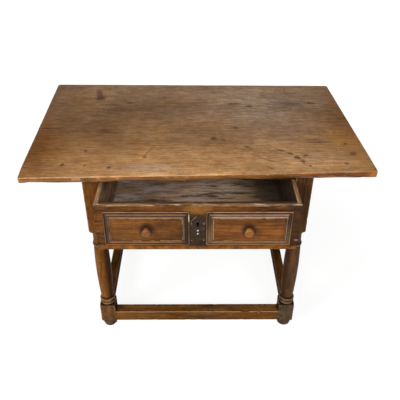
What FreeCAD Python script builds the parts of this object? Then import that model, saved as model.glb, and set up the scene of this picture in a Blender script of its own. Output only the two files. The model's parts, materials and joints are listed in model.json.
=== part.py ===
"""Tavern table with turned legs, box stretchers and one panelled drawer with a lock.

All sizes are in millimetres. Pieces are drawn about the middle of the base on the floor, with the
drawer shut, X to the right, Y to the back and Z up. Each piece is then placed so that the origin lies
on the floor under the middle of the whole table, with the drawer pulled out as it stands at rest.
"""
import FreeCAD, Part
import Sketcher
import os
from types import SimpleNamespace

SIZES = {
    # Whole table
    "table_height": 780,
    "base_width": 795,
    "base_depth": 671,
    "drawer_pulled": 149,
    # Top boards and what holds them
    "top_thickness": 25,
    "end_overhang_front_left": 196,
    "end_overhang_front_right": 209,
    "end_overhang_rear_left": 221,
    "end_overhang_rear_right": 184,
    "front_overhang_left": 56,
    "front_overhang_right": 19,
    "rear_overhang_left": 42,
    "rear_overhang_right": 32,
    "top_joint_from_front": 290,
    "top_corner_radius": 9,
    "top_edge_radius": 4,
    "tongue_thickness": 7,
    "tongue_width": 40,
    "tongue_stop": 70,
    "top_peg_radius": 5,
    "top_peg_depth": 45,
    "top_peg_inset": 15,
    "top_peg_behind_joint": 165,
    # Legs
    "leg_square": 61,
    "block_below_apron": 8,
    "shoulder_height": 16,
    "shoulder_radius": 27.5,
    "shoulder_list": 3,
    "neck_radius": 24.2,
    "neck_length": 55,
    "bead_radius": 29.2,
    "bead_height": 15,
    "list_radius": 26.3,
    "list_height": 4,
    "belly_radius": 29.8,
    "belly_drop": 116,
    "vase_foot_radius": 24.2,
    "flare_height": 5,
    "ring_radius": 30.3,
    "ring_height": 15,
    "quirk_radius": 26.8,
    "lower_shoulder_height": 12,
    "block_above_stretcher": 41,
    "block_below_stretcher": 3,
    "foot_height": 30,
    "foot_shoulder_height": 10,
    "foot_neck_radius": 26.5,
    "foot_neck_height": 2,
    "foot_radius": 29,
    "foot_base_radius": 27,
    # Joints of the frame
    "apron_thickness": 22,
    "apron_setback": 8,
    "apron_tenon_thickness": 11,
    "apron_tenon_length": 32,
    "apron_tenon_shoulder": 14,
    "stretcher_thickness": 45,
    "side_stretcher_thickness": 38,
    "stretcher_height": 50,
    "stretcher_setback": 1.5,
    "stretcher_edge_radius": 3,
    "stretcher_tenon_thickness": 14,
    "stretcher_tenon_length": 25,
    "stretcher_tenon_shoulder": 8,
    "rail_depth": 52,
    "rail_setback": 2,
    "top_rail_thickness": 22,
    "lower_rail_thickness": 26,
    "lower_rail_tenon_width": 36,
    "lower_rail_tenon_length": 26,
    "lower_rail_tenon_shoulder": 5,
    "dovetail_length": 28,
    "dovetail_neck": 24,
    "dovetail_tail": 34,
    "mortise_clearance": 0.2,
    "mortise_spare_depth": 2,
    "peg_radius": 4,
    "peg_depth": 36,
    "peg_proud": 1,
    "peg_clearance": 0.1,
    "peg_from_shoulder": 13,
    "apron_peg_inset": 45,
    # Runners, guides and kickers
    "runner_height": 26,
    "runner_width": 34,
    "runner_tenon_length": 10,
    "runner_tenon_shoulder": 6,
    "guide_height": 36,
    "guide_clearance": 1.2,
    # Drawer box
    "drawer_front_height": 180,
    "drawer_front_thickness": 26,
    "drawer_gap": 1.2,
    "drawer_top_gap": 3,
    "drawer_running_gap": 0.3,
    "drawer_back_gap": 2,
    "drawer_side_thickness": 14,
    "drawer_back_thickness": 14,
    "drawer_back_drop": 8,
    "drawer_rebate": 12,
    "bottom_thickness": 10,
    "bottom_board_gap": 0.6,
    "nail_square": 3,
    "side_nail_length": 40,
    "side_nail_inset": 28,
    "bottom_nail_length": 34,
    "bottom_nail_inset": 32,
    # Panels on the drawer front
    "panel_end_margin": 27,
    "panel_edge_margin": 21.5,
    "panel_gap": 55,
    "moulding_width": 20,
    "moulding_height": 9.5,
    "moulding_bead_width": 4.5,
    "moulding_bead_rise": 1.5,
    "moulding_step": 1,
    "moulding_lip": 2.4,
    "moulding_lip_width": 4.5,
    "moulding_lip_rise": 1.2,
    "field_gap": 0.5,
    "field_thickness": 8,
    "field_bevel": 1.2,
    # Knobs
    "knob_length": 25,
    "knob_radius": 16,
    "knob_head_height": 17,
    "knob_neck_radius": 6.5,
    "knob_base_radius": 10.5,
    "knob_base_height": 2.5,
    "knob_tip_radius": 7,
    "knob_shank_radius": 6,
    # Escutcheon and lock
    "escutcheon_width": 50,
    "escutcheon_height": 111,
    "escutcheon_point": 32,
    "escutcheon_drop": 33,
    "escutcheon_thickness": 1.5,
    "escutcheon_nail_inset": 5,
    "escutcheon_nail_radius": 3,
    "escutcheon_nail_rise": 1.6,
    "escutcheon_nail_square": 2.2,
    "escutcheon_nail_length": 9,
    "escutcheon_middle_nail_drop": 29,
    "escutcheon_middle_nail_step": 13,
    "keyhole_drop": 69,
    "keyhole_radius": 5,
    "keyhole_slot_width": 6,
    "keyhole_slot_length": 15,
    "lock_width": 62,
    "lock_height": 100,
    "lock_depth": 13,
    "lock_plate_thickness": 2,
    "lock_selvedge_thickness": 2.5,
    "lock_ledge": 4,
    "lock_cap_wall": 1.2,
    "lock_clearance": 0.3,
    "lock_nail_square": 2,
    "lock_nail_length": 10,
    "bolt_width": 22,
    "bolt_thickness": 5,
    "bolt_length": 56,
    "bolt_throw": 9,
    "bolt_notch_width": 8,
    "bolt_notch_height": 6,
    "spring_thickness": 1,
    "spring_width": 4,
    "spring_length": 40,
    "spring_drop": 10,
}

ROUND = 2 ** 0.5 / 2
THROUGH = 3
SHEET_NAME = "sizes"
SIDES = {"left": -1, "right": 1}
ENDS = {"front": -1, "rear": 1}


class Length:
    """A size, as a number and as the sheet formula that gives it."""

    def __init__(self, value, formula):
        self.value = value
        self.formula = formula

    def __add__(self, other):
        other = as_length(other)
        return Length(self.value + other.value, f"({self.formula} + {other.formula})")

    def __sub__(self, other):
        other = as_length(other)
        return Length(self.value - other.value, f"({self.formula} - {other.formula})")

    def __mul__(self, other):
        other = as_length(other)
        return Length(self.value * other.value, f"({self.formula} * {other.formula})")

    def __truediv__(self, other):
        other = as_length(other)
        return Length(self.value / other.value, f"({self.formula} / {other.formula})")

    def __neg__(self):
        return Length(-self.value, f"(0 - {self.formula})")

    __radd__ = __add__
    __rmul__ = __mul__


def as_length(size):
    return size if isinstance(size, Length) else Length(size, repr(size))


def larger(first, second):
    return Length(max(first.value, second.value), f"max({first.formula}; {second.formula})")


def middle(low, high):
    return (low + high) / 2


def make_sheet():
    """Write the driving sizes to the sheet and return them by name."""
    sheet = doc.addObject("Spreadsheet::Sheet", SHEET_NAME)
    for row, (name, value) in enumerate(SIZES.items(), start=1):
        sheet.set(f"A{row}", name)
        sheet.set(f"B{row}", str(value))
        sheet.setAlias(f"B{row}", name)
    doc.recompute()
    return SimpleNamespace(**{name: Length(value, f"{SHEET_NAME}.{name}") for name, value in SIZES.items()})


doc = FreeCAD.newDocument("tavern_table")
s = make_sheet()
pieces = {}

# Heights
under_top = s.table_height - s.top_thickness
drawer_top = under_top - s.top_rail_thickness - s.drawer_top_gap
drawer_bottom = drawer_top - s.drawer_front_height
rail_top = drawer_bottom - s.drawer_running_gap
apron_bottom = rail_top - s.lower_rail_thickness
stretcher_bottom = s.foot_height + s.block_below_stretcher
stretcher_top = stretcher_bottom + s.stretcher_height

# Places in plan
half_width = s.base_width / 2
half_depth = s.base_depth / 2
half_leg = s.leg_square / 2
leg_inner_x = half_width - s.leg_square
leg_inner_y = half_depth - s.leg_square
apron_inner_x = half_width - s.apron_setback - s.apron_thickness
apron_inner_y = half_depth - s.apron_setback - s.apron_thickness
rail_rear = s.rail_setback + s.rail_depth - half_depth
peg_hole_radius = s.peg_radius + s.peg_clearance
top_peg_hole_radius = s.top_peg_radius + s.peg_clearance

# The drawer shut: its face is flush with the legs
drawer_half = leg_inner_x - s.drawer_gap
drawer_inner = drawer_half - s.drawer_side_thickness
drawer_face = -half_depth
drawer_front_back = drawer_face + s.drawer_front_thickness
drawer_seat = drawer_front_back - s.drawer_rebate
drawer_rear = apron_inner_y - s.drawer_back_gap
drawer_side_low = drawer_bottom + s.bottom_thickness
panel_inner = s.panel_gap / 2
panel_outer = drawer_half - s.panel_end_margin
panel_low = drawer_bottom + s.panel_edge_margin
panel_high = drawer_top - s.panel_edge_margin
panel_middle_x = middle(panel_inner, panel_outer)
panel_middle_z = middle(panel_low, panel_high)
field_inset = s.moulding_width + s.field_gap
keyhole_z = drawer_top - s.keyhole_drop

# The origin is on the floor under the middle of the table at rest
reach_left = half_width + larger(s.end_overhang_front_left, s.end_overhang_rear_left)
reach_right = half_width + larger(s.end_overhang_front_right, s.end_overhang_rear_right)
reach_front = half_depth + s.drawer_pulled + s.field_thickness + s.knob_length
reach_rear = half_depth + larger(s.rear_overhang_left, s.rear_overhang_right)
home_x = (reach_left - reach_right) / 2
home_y = (reach_front - reach_rear) / 2
FRAME_HOME = (home_x, home_y, as_length(0))
DRAWER_HOME = (home_x, home_y - s.drawer_pulled, as_length(0))


def bind(thing, name, size):
    thing.setExpression(name, as_length(size).formula)


def bind_place(thing, place):
    for axis, size in zip("xyz", place):
        bind(thing, f"Placement.Base.{axis}", size)


def shifted(home, place):
    return tuple(start + step for start, step in zip(home, place))


def new_piece(label, home, rotation=None):
    """Start a body whose label is the piece's name."""
    body = doc.addObject("PartDesign::Body", label)
    body.Label = label
    if rotation is not None:
        body.Placement = FreeCAD.Placement(FreeCAD.Vector(), rotation)
    bind_place(body, home)
    pieces[label] = body
    return body


def block(body, kind, low, high):
    feature = body.newObject(f"PartDesign::{kind}Box", f"{body.Label}_block")
    for name, start, end in zip(("Length", "Width", "Height"), low, high):
        bind(feature, name, end - start)
    bind_place(feature, low)
    return feature


def add_block(body, low, high):
    return block(body, "Additive", low, high)


def cut_block(body, low, high):
    return block(body, "Subtractive", low, high)


def axis_turn(axis):
    """The turn that lays a cylinder drawn along Z along another axis."""
    turns = {
        "x": (FreeCAD.Vector(0, 1, 0), 90),
        "y": (FreeCAD.Vector(1, 0, 0), -90),
        "z": (FreeCAD.Vector(0, 0, 1), 0),
    }
    return FreeCAD.Rotation(*turns[axis])


def set_round(feature, axis, start, length, radius):
    feature.Placement = FreeCAD.Placement(FreeCAD.Vector(), axis_turn(axis))
    bind(feature, "Radius", radius)
    bind(feature, "Height", length)
    bind_place(feature, start)


def cut_round(body, axis, start, length, radius):
    feature = body.newObject("PartDesign::SubtractiveCylinder", f"{body.Label}_bore")
    set_round(feature, axis, start, length, radius)
    return feature


def mirrored(side, low, high):
    """A stretch measured outwards from the middle, on the side given by its sign."""
    return (low, high) if side > 0 else (-high, -low)


def box_between(x_span, y_span, z_span):
    """The low and high corners of the box over three stretches."""
    return tuple(zip(x_span, y_span, z_span))


def pin(sketch, edge, end, place):
    """Hold one end of an edge, or a point, at its distances from the sketch's origin."""
    for kind, size in zip(("DistanceX", "DistanceY"), place):
        index = sketch.addConstraint(Sketcher.Constraint(kind, -1, 1, edge, end, size.value))
        bind(sketch, f"Constraints[{index}]", size)


def draw(body, role, path, lift=None):
    """Sketch a closed outline. A corner with a third entry starts an arc through that point."""
    sketch = body.newObject("Sketcher::SketchObject", f"{body.Label}_outline")
    plane = next(feature for feature in body.Origin.OriginFeatures if feature.Role == role)
    sketch.AttachmentSupport = [(plane, "")]
    sketch.MapMode = "FlatFace"
    if lift is not None:
        bind(sketch, "AttachmentOffset.Base.z", lift)
    path = [tuple(as_length(size) for size in step[:2]) + tuple(step[2:]) for step in path]
    ends = []
    for index, step in enumerate(path):
        following = path[(index + 1) % len(path)]
        start, end = (FreeCAD.Vector(*(size.value for size in spot[:2])) for spot in (step, following))
        if len(step) == 2:
            edge = sketch.addGeometry(Part.LineSegment(start, end), False)
            ends.append((edge, 1, 2))
            continue
        via = tuple(as_length(size) for size in step[2])
        via_point = FreeCAD.Vector(*(size.value for size in via))
        edge = sketch.addGeometry(Part.Arc(start, via_point, end), False)
        # Arcs are kept anticlockwise, so an arc's ends may have changed places
        forward = (sketch.getPoint(edge, 1) - start).Length < (sketch.getPoint(edge, 2) - start).Length
        ends.append((edge, 1, 2) if forward else (edge, 2, 1))
        spot = sketch.addGeometry(Part.Point(via_point), True)
        pin(sketch, spot, 1, via)
        sketch.addConstraint(Sketcher.Constraint("PointOnObject", spot, 1, edge))
    for (edge, _, last), (following, first, _) in zip(ends, ends[1:] + ends[:1]):
        sketch.addConstraint(Sketcher.Constraint("Coincident", edge, last, following, first))
    for step, (edge, first, _) in zip(path, ends):
        pin(sketch, edge, first, step[:2])
    return sketch


def pad(body, sketch, length):
    feature = body.newObject("PartDesign::Pad", f"{body.Label}_pad")
    feature.Profile = sketch
    bind(feature, "Length", length)
    return feature


def pocket_both_ways(body, sketch, length):
    feature = body.newObject("PartDesign::Pocket", f"{body.Label}_pocket")
    feature.Profile = sketch
    feature.SideType = "Symmetric"
    bind(feature, "Length", length)
    return feature


def turn(body, kind, sketch):
    """Revolve a profile about the vertical axis, to add or to cut."""
    feature = body.newObject(f"PartDesign::{kind}", f"{body.Label}_turning")
    feature.Profile = sketch
    feature.ReferenceAxis = (sketch, ["V_Axis"])
    feature.Angle = 360
    return feature


def soften(body, kind, size_name, size, wanted):
    """Round or bevel the edges of the tip for which wanted(edge) is true."""
    doc.recompute()
    base = body.Tip
    names = [f"Edge{number}" for number, edge in enumerate(base.Shape.Edges, start=1) if wanted(edge)]
    feature = body.newObject(f"PartDesign::{kind}", f"{body.Label}_edges")
    feature.Base = (base, names)
    bind(feature, size_name, size)
    return feature


def edge_on(edge, axis, place):
    """Whether both ends of an edge lie at a place along an axis."""
    return all(abs(getattr(vertex.Point, axis) - place.value) < 1e-4 for vertex in edge.Vertexes)


def is_upright(edge):
    low, high = edge.BoundBox.ZMin, edge.BoundBox.ZMax
    return edge.BoundBox.XLength < 1e-4 and edge.BoundBox.YLength < 1e-4 and high - low > 1e-4


def new_group(label, home, solids):
    """One node of separate like solids."""
    group = doc.addObject("Part::Compound", label)
    group.Label = label
    group.Links = solids
    bind_place(group, home)
    pieces[label] = group
    return group


def loose_round(name, axis, start, length, radius):
    peg = doc.addObject("Part::Cylinder", name)
    set_round(peg, axis, start, length, radius)
    return peg


def loose_block(name, low, high):
    nail = doc.addObject("Part::Box", name)
    for prop, start, end in zip(("Length", "Width", "Height"), low, high):
        bind(nail, prop, end - start)
    bind_place(nail, low)
    return nail


def quarter(start, end):
    """The middle of a quarter round or hollow that leaves start along Y and reaches end along X."""
    return (end[0] + (start[0] - end[0]) * ROUND, start[1] + (end[1] - start[1]) * ROUND)


def half_round(low, high, crown):
    return (crown, middle(low, high))


# Bars that are tenoned between two legs. An "x" bar lies along X at the front or rear.
APRON = SimpleNamespace(
    setback=s.apron_setback, thickness=s.apron_thickness, low=apron_bottom, high=under_top,
    tenon_thickness=s.apron_tenon_thickness, tenon_length=s.apron_tenon_length,
    tenon_shoulder=s.apron_tenon_shoulder, edge_radius=None,
    peg_heights=(apron_bottom + s.apron_peg_inset, under_top - s.apron_peg_inset))
STRETCHER = SimpleNamespace(
    setback=s.stretcher_setback, thickness=s.stretcher_thickness, low=stretcher_bottom, high=stretcher_top,
    tenon_thickness=s.stretcher_tenon_thickness, tenon_length=s.stretcher_tenon_length,
    tenon_shoulder=s.stretcher_tenon_shoulder, edge_radius=s.stretcher_edge_radius,
    peg_heights=(middle(stretcher_bottom, stretcher_top),))
SIDE_STRETCHER = SimpleNamespace(**{**vars(STRETCHER), "thickness": s.side_stretcher_thickness})
LOWER_RAIL = SimpleNamespace(
    setback=s.rail_setback, thickness=s.rail_depth, low=apron_bottom, high=rail_top,
    tenon_thickness=s.lower_rail_tenon_width, tenon_length=s.lower_rail_tenon_length,
    tenon_shoulder=s.lower_rail_tenon_shoulder, edge_radius=None,
    peg_heights=(middle(apron_bottom, rail_top),))
BARS = (
    ("apron_left", "y", -1, APRON),
    ("apron_right", "y", 1, APRON),
    ("apron_rear", "x", 1, APRON),
    ("front_lower_rail", "x", -1, LOWER_RAIL),
    ("stretcher_left", "y", -1, SIDE_STRETCHER),
    ("stretcher_right", "y", 1, SIDE_STRETCHER),
    ("stretcher_front", "x", -1, STRETCHER),
    ("stretcher_rear", "x", 1, STRETCHER),
)


def bar_across(axis, form, inset, thickness):
    """The stretch across a bar, measured outwards from the middle of the base."""
    outer = half_depth if axis == "x" else half_width
    high = outer - form.setback - inset
    return high - thickness, high


def by_axis(axis, along, across, z_span):
    return box_between(along, across, z_span) if axis == "x" else box_between(across, along, z_span)


def make_bar(label, axis, side, form):
    """A bar with a tenon at each end and holes for the pegs that pin it."""
    body = new_piece(label, FRAME_HOME)
    shoulder = leg_inner_x if axis == "x" else leg_inner_y
    across = mirrored(side, *bar_across(axis, form, 0, form.thickness))
    add_block(body, *by_axis(axis, (-shoulder, shoulder), across, (form.low, form.high)))
    if form.edge_radius is not None:
        run = axis.upper()
        soften(body, "Fillet", "Radius", form.edge_radius,
               lambda edge: getattr(edge.BoundBox, f"{run}Length") > form.thickness.value)
    reach = shoulder + form.tenon_length
    inset = (form.thickness - form.tenon_thickness) / 2
    tenon = mirrored(side, *bar_across(axis, form, inset, form.tenon_thickness))
    heights = (form.low + form.tenon_shoulder, form.high - form.tenon_shoulder)
    add_block(body, *by_axis(axis, (-reach, reach), tenon, heights))
    for end in (-1, 1):
        along = as_length(end) * (shoulder + s.peg_from_shoulder)
        for height in form.peg_heights:
            place = (along, tenon[0], height) if axis == "x" else (tenon[0], along, height)
            cut_round(body, "y" if axis == "x" else "x", place, form.tenon_thickness, peg_hole_radius)
    return body


def peg_places(axis, side, form):
    """Where each peg of a bar starts, and how long it is, from outside the leg inwards."""
    shoulder = leg_inner_x if axis == "x" else leg_inner_y
    outer = half_depth if axis == "x" else half_width
    across = mirrored(side, outer - s.peg_depth, outer + s.peg_proud)
    for end in (-1, 1):
        along = as_length(end) * (shoulder + s.peg_from_shoulder)
        for height in form.peg_heights:
            yield (along, across[0], height) if axis == "x" else (across[0], along, height)


def make_pegs(label, forms):
    pegs = []
    for bar_label, axis, side, form in BARS:
        if form in forms:
            for place in peg_places(axis, side, form):
                pegs.append(loose_round(f"{bar_label}_peg", "y" if axis == "x" else "x", place,
                                        s.peg_depth + s.peg_proud, s.peg_radius))
    new_group(label, FRAME_HOME, pegs)


def vase_profile():
    """What the turner cuts away between the two square blocks, from the top down."""
    cut_reach = s.leg_square * 3 / 4
    block_end = apron_bottom - s.block_below_apron
    shoulder = (s.shoulder_radius, block_end - s.shoulder_height)
    neck_top = shoulder[1] - s.shoulder_list
    bead_top = neck_top - s.neck_length
    bead_bottom = bead_top - s.bead_height
    vase_top = bead_bottom - s.list_height
    lower_block = stretcher_top + s.block_above_stretcher
    ring_bottom = lower_block
    ring_middle = ring_bottom + s.ring_height
    ring_top = ring_middle + s.ring_height
    vase_bottom = ring_top + s.flare_height
    lower_edge = (cut_reach, lower_block - s.lower_shoulder_height)
    return [
        (cut_reach, block_end, quarter((cut_reach, block_end), shoulder)),
        shoulder,
        (s.shoulder_radius, neck_top, half_round(bead_top, neck_top, s.neck_radius)),
        (s.list_radius, bead_top, half_round(bead_bottom, bead_top, s.bead_radius)),
        (s.list_radius, bead_bottom),
        (s.list_radius, vase_top, (s.belly_radius, vase_top - s.belly_drop)),
        (s.vase_foot_radius, vase_bottom),
        (s.quirk_radius, ring_top, half_round(ring_middle, ring_top, s.ring_radius)),
        (s.quirk_radius, ring_middle, half_round(ring_bottom, ring_middle, s.ring_radius)),
        (s.quirk_radius, ring_bottom, quarter(lower_edge, (s.quirk_radius, ring_bottom))),
        lower_edge,
    ]


def foot_profile():
    """What is cut away round the stub foot under the lower block."""
    cut_reach = s.leg_square * 3 / 4
    shoulder = (cut_reach, s.foot_height + s.foot_shoulder_height)
    neck = (s.foot_neck_radius, s.foot_height)
    bun_top = s.foot_height - s.foot_neck_height
    return [
        (*shoulder, quarter(shoulder, neck)),
        neck,
        (s.foot_neck_radius, bun_top, half_round(as_length(0), bun_top, s.foot_radius)),
        (s.foot_base_radius, as_length(0)),
        (cut_reach, as_length(0)),
    ]


def cut_mortise(body, side_x, side_y, axis, form):
    """The mortise for a bar that lies along an axis, with its peg holes."""
    outer = half_leg - form.setback - (form.thickness - form.tenon_thickness) / 2 + s.mortise_clearance
    across = (outer - form.tenon_thickness - s.mortise_clearance * 2, outer)
    along = (-half_leg, form.tenon_length + s.mortise_spare_depth - half_leg)
    heights = (form.low + form.tenon_shoulder - s.mortise_clearance,
               form.high - form.tenon_shoulder + s.mortise_clearance)
    x_span, y_span = (along, across) if axis == "x" else (across, along)
    cut_block(body, *box_between(mirrored(side_x, *x_span), mirrored(side_y, *y_span), heights))
    peg_x = mirrored(side_x, half_leg - s.peg_depth, half_leg)
    peg_y = mirrored(side_y, half_leg - s.peg_depth, half_leg)
    for height in form.peg_heights:
        if axis == "x":
            place = (as_length(side_x) * (s.peg_from_shoulder - half_leg), peg_y[0], height)
        else:
            place = (peg_x[0], as_length(side_y) * (s.peg_from_shoulder - half_leg), height)
        cut_round(body, "y" if axis == "x" else "x", place, s.peg_depth, peg_hole_radius)


def dovetail_outline(side, shoulder_x, middle_y, spare):
    """A tail that starts at its shoulder and widens to the side, or with spare room its notch."""
    neck = s.dovetail_neck / 2 + spare
    tail = s.dovetail_tail / 2 + spare
    end = shoulder_x + as_length(side) * (s.dovetail_length + spare)
    return [
        (shoulder_x, middle_y - neck),
        (end, middle_y - tail),
        (end, middle_y + tail),
        (shoulder_x, middle_y + neck),
    ]


def make_leg(end, side):
    side_x, side_y = SIDES[side], ENDS[end]
    label = f"leg_{end}_{side}"
    axis_x = as_length(side_x) * (half_width - half_leg)
    axis_y = as_length(side_y) * (half_depth - half_leg)
    body = new_piece(label, shifted(FRAME_HOME, (axis_x, axis_y, as_length(0))))
    add_block(body, *box_between((-half_leg, half_leg), (-half_leg, half_leg), (as_length(0), under_top)))
    for profile in (vase_profile(), foot_profile()):
        turn(body, "Groove", draw(body, "XZ_Plane", profile))
    for _, axis, bar_side, form in BARS:
        if bar_side == (side_y if axis == "x" else side_x):
            cut_mortise(body, side_x, side_y, axis, form)
    if end == "front":
        rail_middle = s.rail_setback + s.rail_depth / 2 - half_leg
        notch = dovetail_outline(side_x, as_length(-side_x) * half_leg, rail_middle, s.mortise_clearance)
        sketch = draw(body, "XY_Plane", notch, under_top)
        pocket_both_ways(body, sketch, s.top_rail_thickness * 2)
    inset = half_leg - s.top_peg_inset
    peg_place = (as_length(side_x) * inset, as_length(side_y) * inset, under_top - s.top_peg_depth)
    cut_round(body, "z", peg_place, s.top_peg_depth, top_peg_hole_radius)


def make_top_rail():
    """The thin front rail over the drawer, with a tail at each end and the lock's mortise."""
    body = new_piece("front_top_rail", FRAME_HOME)
    front = s.rail_setback - half_depth
    low = under_top - s.top_rail_thickness
    rail_middle = front + s.rail_depth / 2
    add_block(body, *box_between((-leg_inner_x, leg_inner_x), (front, rail_rear), (low, under_top)))
    for side in (-1, 1):
        tail = dovetail_outline(side, as_length(side) * leg_inner_x, rail_middle, 0)
        pad(body, draw(body, "XY_Plane", tail, low), s.top_rail_thickness)
    bolt_y = bolt_span()
    spare = s.lock_clearance * 2
    cut_block(body, *box_between(
        (-s.bolt_width / 2 - spare, s.bolt_width / 2 + spare), (bolt_y[0] - spare, bolt_y[1] + spare),
        (low, drawer_top + s.bolt_throw + spare)))
    return body


def make_strip(label, side, low, high, rear_bars):
    """A runner or kicker notched round the legs, stub tenoned into the rail and the rear apron."""
    body = new_piece(label, FRAME_HOME)
    inner = leg_inner_x - s.runner_width
    between_legs = mirrored(side, inner, leg_inner_x)
    add_block(body, *box_between(between_legs, (rail_rear, apron_inner_y), (low, high)))
    beside_legs = mirrored(side, leg_inner_x, apron_inner_x)
    add_block(body, *box_between(beside_legs, (-leg_inner_y, leg_inner_y), (low, high)))
    shoulder = s.runner_tenon_shoulder
    across = mirrored(side, inner + shoulder, leg_inner_x - shoulder)
    heights = (low + shoulder, high - shoulder)
    reach = (rail_rear - s.runner_tenon_length, apron_inner_y + s.runner_tenon_length)
    add_block(body, *box_between(across, reach, heights))
    for bar in rear_bars:
        cut_block(bar, *box_between(across, reach, heights))


def make_runners(lower_rail, top_rail, rear_apron):
    for name, side in SIDES.items():
        runner_low = rail_top - s.runner_height
        make_strip(f"drawer_runner_{name}", side, runner_low, rail_top, (lower_rail, rear_apron))
        kicker_low = under_top - s.top_rail_thickness
        make_strip(f"drawer_kicker_{name}", side, kicker_low, under_top, (top_rail, rear_apron))
        guide = new_piece(f"drawer_guide_{name}", FRAME_HOME)
        add_block(guide, *box_between(mirrored(side, drawer_half + s.guide_clearance, apron_inner_x),
                                      (-leg_inner_y, leg_inner_y), (rail_top, rail_top + s.guide_height)))


def top_corner(side, end):
    """A corner of the top: it overhangs the base by a different amount at each corner."""
    end_overhang = getattr(s, f"end_overhang_{end}_{side}")
    overhang = getattr(s, f"{end}_overhang_{side}")
    corner_x = as_length(SIDES[side]) * (half_width + end_overhang)
    return corner_x, as_length(ENDS[end]) * (half_depth + overhang)


def top_joint_point(side):
    """Where the joint between the two boards meets the left or right end."""
    joint_y = s.top_joint_from_front - half_depth
    front_x, front_y = top_corner(side, "front")
    rear_x, rear_y = top_corner(side, "rear")
    share = (joint_y - front_y) / (rear_y - front_y)
    return front_x + (rear_x - front_x) * share, joint_y


def top_peg_places():
    for end_sign in ENDS.values():
        for side in SIDES.values():
            yield (as_length(side) * (half_width - s.top_peg_inset),
                   as_length(end_sign) * (half_depth - s.top_peg_inset))
    for side in SIDES.values():
        yield apron_peg_place(side)


def apron_peg_place(side):
    across = half_width - s.apron_setback - s.apron_thickness / 2
    return as_length(side) * across, s.top_joint_from_front - half_depth + s.top_peg_behind_joint


def make_top():
    joint_left, joint_right = top_joint_point("left"), top_joint_point("right")
    joint_y = joint_left[1]
    tongue_middle = under_top + s.top_thickness / 2
    tongue_z = (tongue_middle - s.tongue_thickness / 2, tongue_middle + s.tongue_thickness / 2)
    tongue_x = (joint_left[0] + s.tongue_stop, joint_right[0] - s.tongue_stop)
    tongue_y = (joint_y - s.tongue_width / 2, joint_y + s.tongue_width / 2)
    outlines = {
        "front": [top_corner("left", "front"), top_corner("right", "front"), joint_right, joint_left],
        "rear": [joint_left, joint_right, top_corner("right", "rear"), top_corner("left", "rear")],
    }
    for end, outline in outlines.items():
        body = new_piece(f"top_board_{end}", FRAME_HOME)
        pad(body, draw(body, "XY_Plane", outline, under_top), s.top_thickness)
        soften(body, "Fillet", "Radius", s.top_corner_radius,
               lambda edge: is_upright(edge) and not edge_on(edge, "y", joint_y))
        soften(body, "Fillet", "Radius", s.top_edge_radius,
               lambda edge: edge_on(edge, "z", s.table_height) and not edge_on(edge, "y", joint_y))
        cut_block(body, *box_between(tongue_x, tongue_y, tongue_z))
        for x, y in top_peg_places():
            if (y.value > joint_y.value) == (end == "rear"):
                cut_round(body, "z", (x, y, under_top), s.top_thickness, top_peg_hole_radius)
    tongue = new_piece("top_tongue", FRAME_HOME)
    add_block(tongue, *box_between(tongue_x, tongue_y, tongue_z))
    peg_low = under_top - s.top_peg_depth
    peg_length = s.top_peg_depth + s.top_thickness
    pegs = [loose_round("top_peg", "z", (x, y, peg_low), peg_length, s.top_peg_radius)
            for x, y in top_peg_places()]
    new_group("top_pegs", FRAME_HOME, pegs)


def make_frame():
    bars = {label: make_bar(label, axis, side, form) for label, axis, side, form in BARS}
    for end in ENDS:
        for side in SIDES:
            make_leg(end, side)
    for name, side in SIDES.items():
        x, y = apron_peg_place(side)
        place = (x, y, under_top - s.top_peg_depth)
        cut_round(bars[f"apron_{name}"], "z", place, s.top_peg_depth, top_peg_hole_radius)
    make_runners(bars["front_lower_rail"], make_top_rail(), bars["apron_rear"])
    make_pegs("upper_frame_pegs", (APRON, LOWER_RAIL))
    make_pegs("stretcher_pegs", (STRETCHER, SIDE_STRETCHER))
    make_top()


def side_nail_boxes(side, end):
    """Square nails driven through a drawer side into the front or the back."""
    half = s.nail_square / 2
    if end == "front":
        nail_y = drawer_front_back - s.drawer_rebate / 2
        heights = (drawer_side_low + s.side_nail_inset, panel_middle_z, drawer_top - s.side_nail_inset)
    else:
        nail_y = drawer_rear - s.drawer_back_thickness / 2
        heights = (drawer_side_low + s.side_nail_inset, drawer_top - s.side_nail_inset)
    span = mirrored(side, drawer_half - s.side_nail_length, drawer_half)
    depth = (nail_y - half, nail_y + half)
    return [box_between(span, depth, (height - half, height + half)) for height in heights]


def bottom_boards():
    """The three bottom boards, each with its stretch from front to back."""
    names = ("front", "middle", "rear")
    length = (drawer_rear - drawer_seat - s.bottom_board_gap * (len(names) - 1)) / len(names)
    for index, name in enumerate(names):
        start = drawer_seat + (length + s.bottom_board_gap) * index
        yield name, (start, start + length)


def bottom_nail_boxes(side, board_span):
    half = s.nail_square / 2
    nail_x = as_length(side) * (drawer_half - s.drawer_side_thickness / 2)
    heights = (drawer_bottom, drawer_bottom + s.bottom_nail_length)
    for nail_y in (board_span[0] + s.bottom_nail_inset, board_span[1] - s.bottom_nail_inset):
        yield box_between((nail_x - half, nail_x + half), (nail_y - half, nail_y + half), heights)


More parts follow.
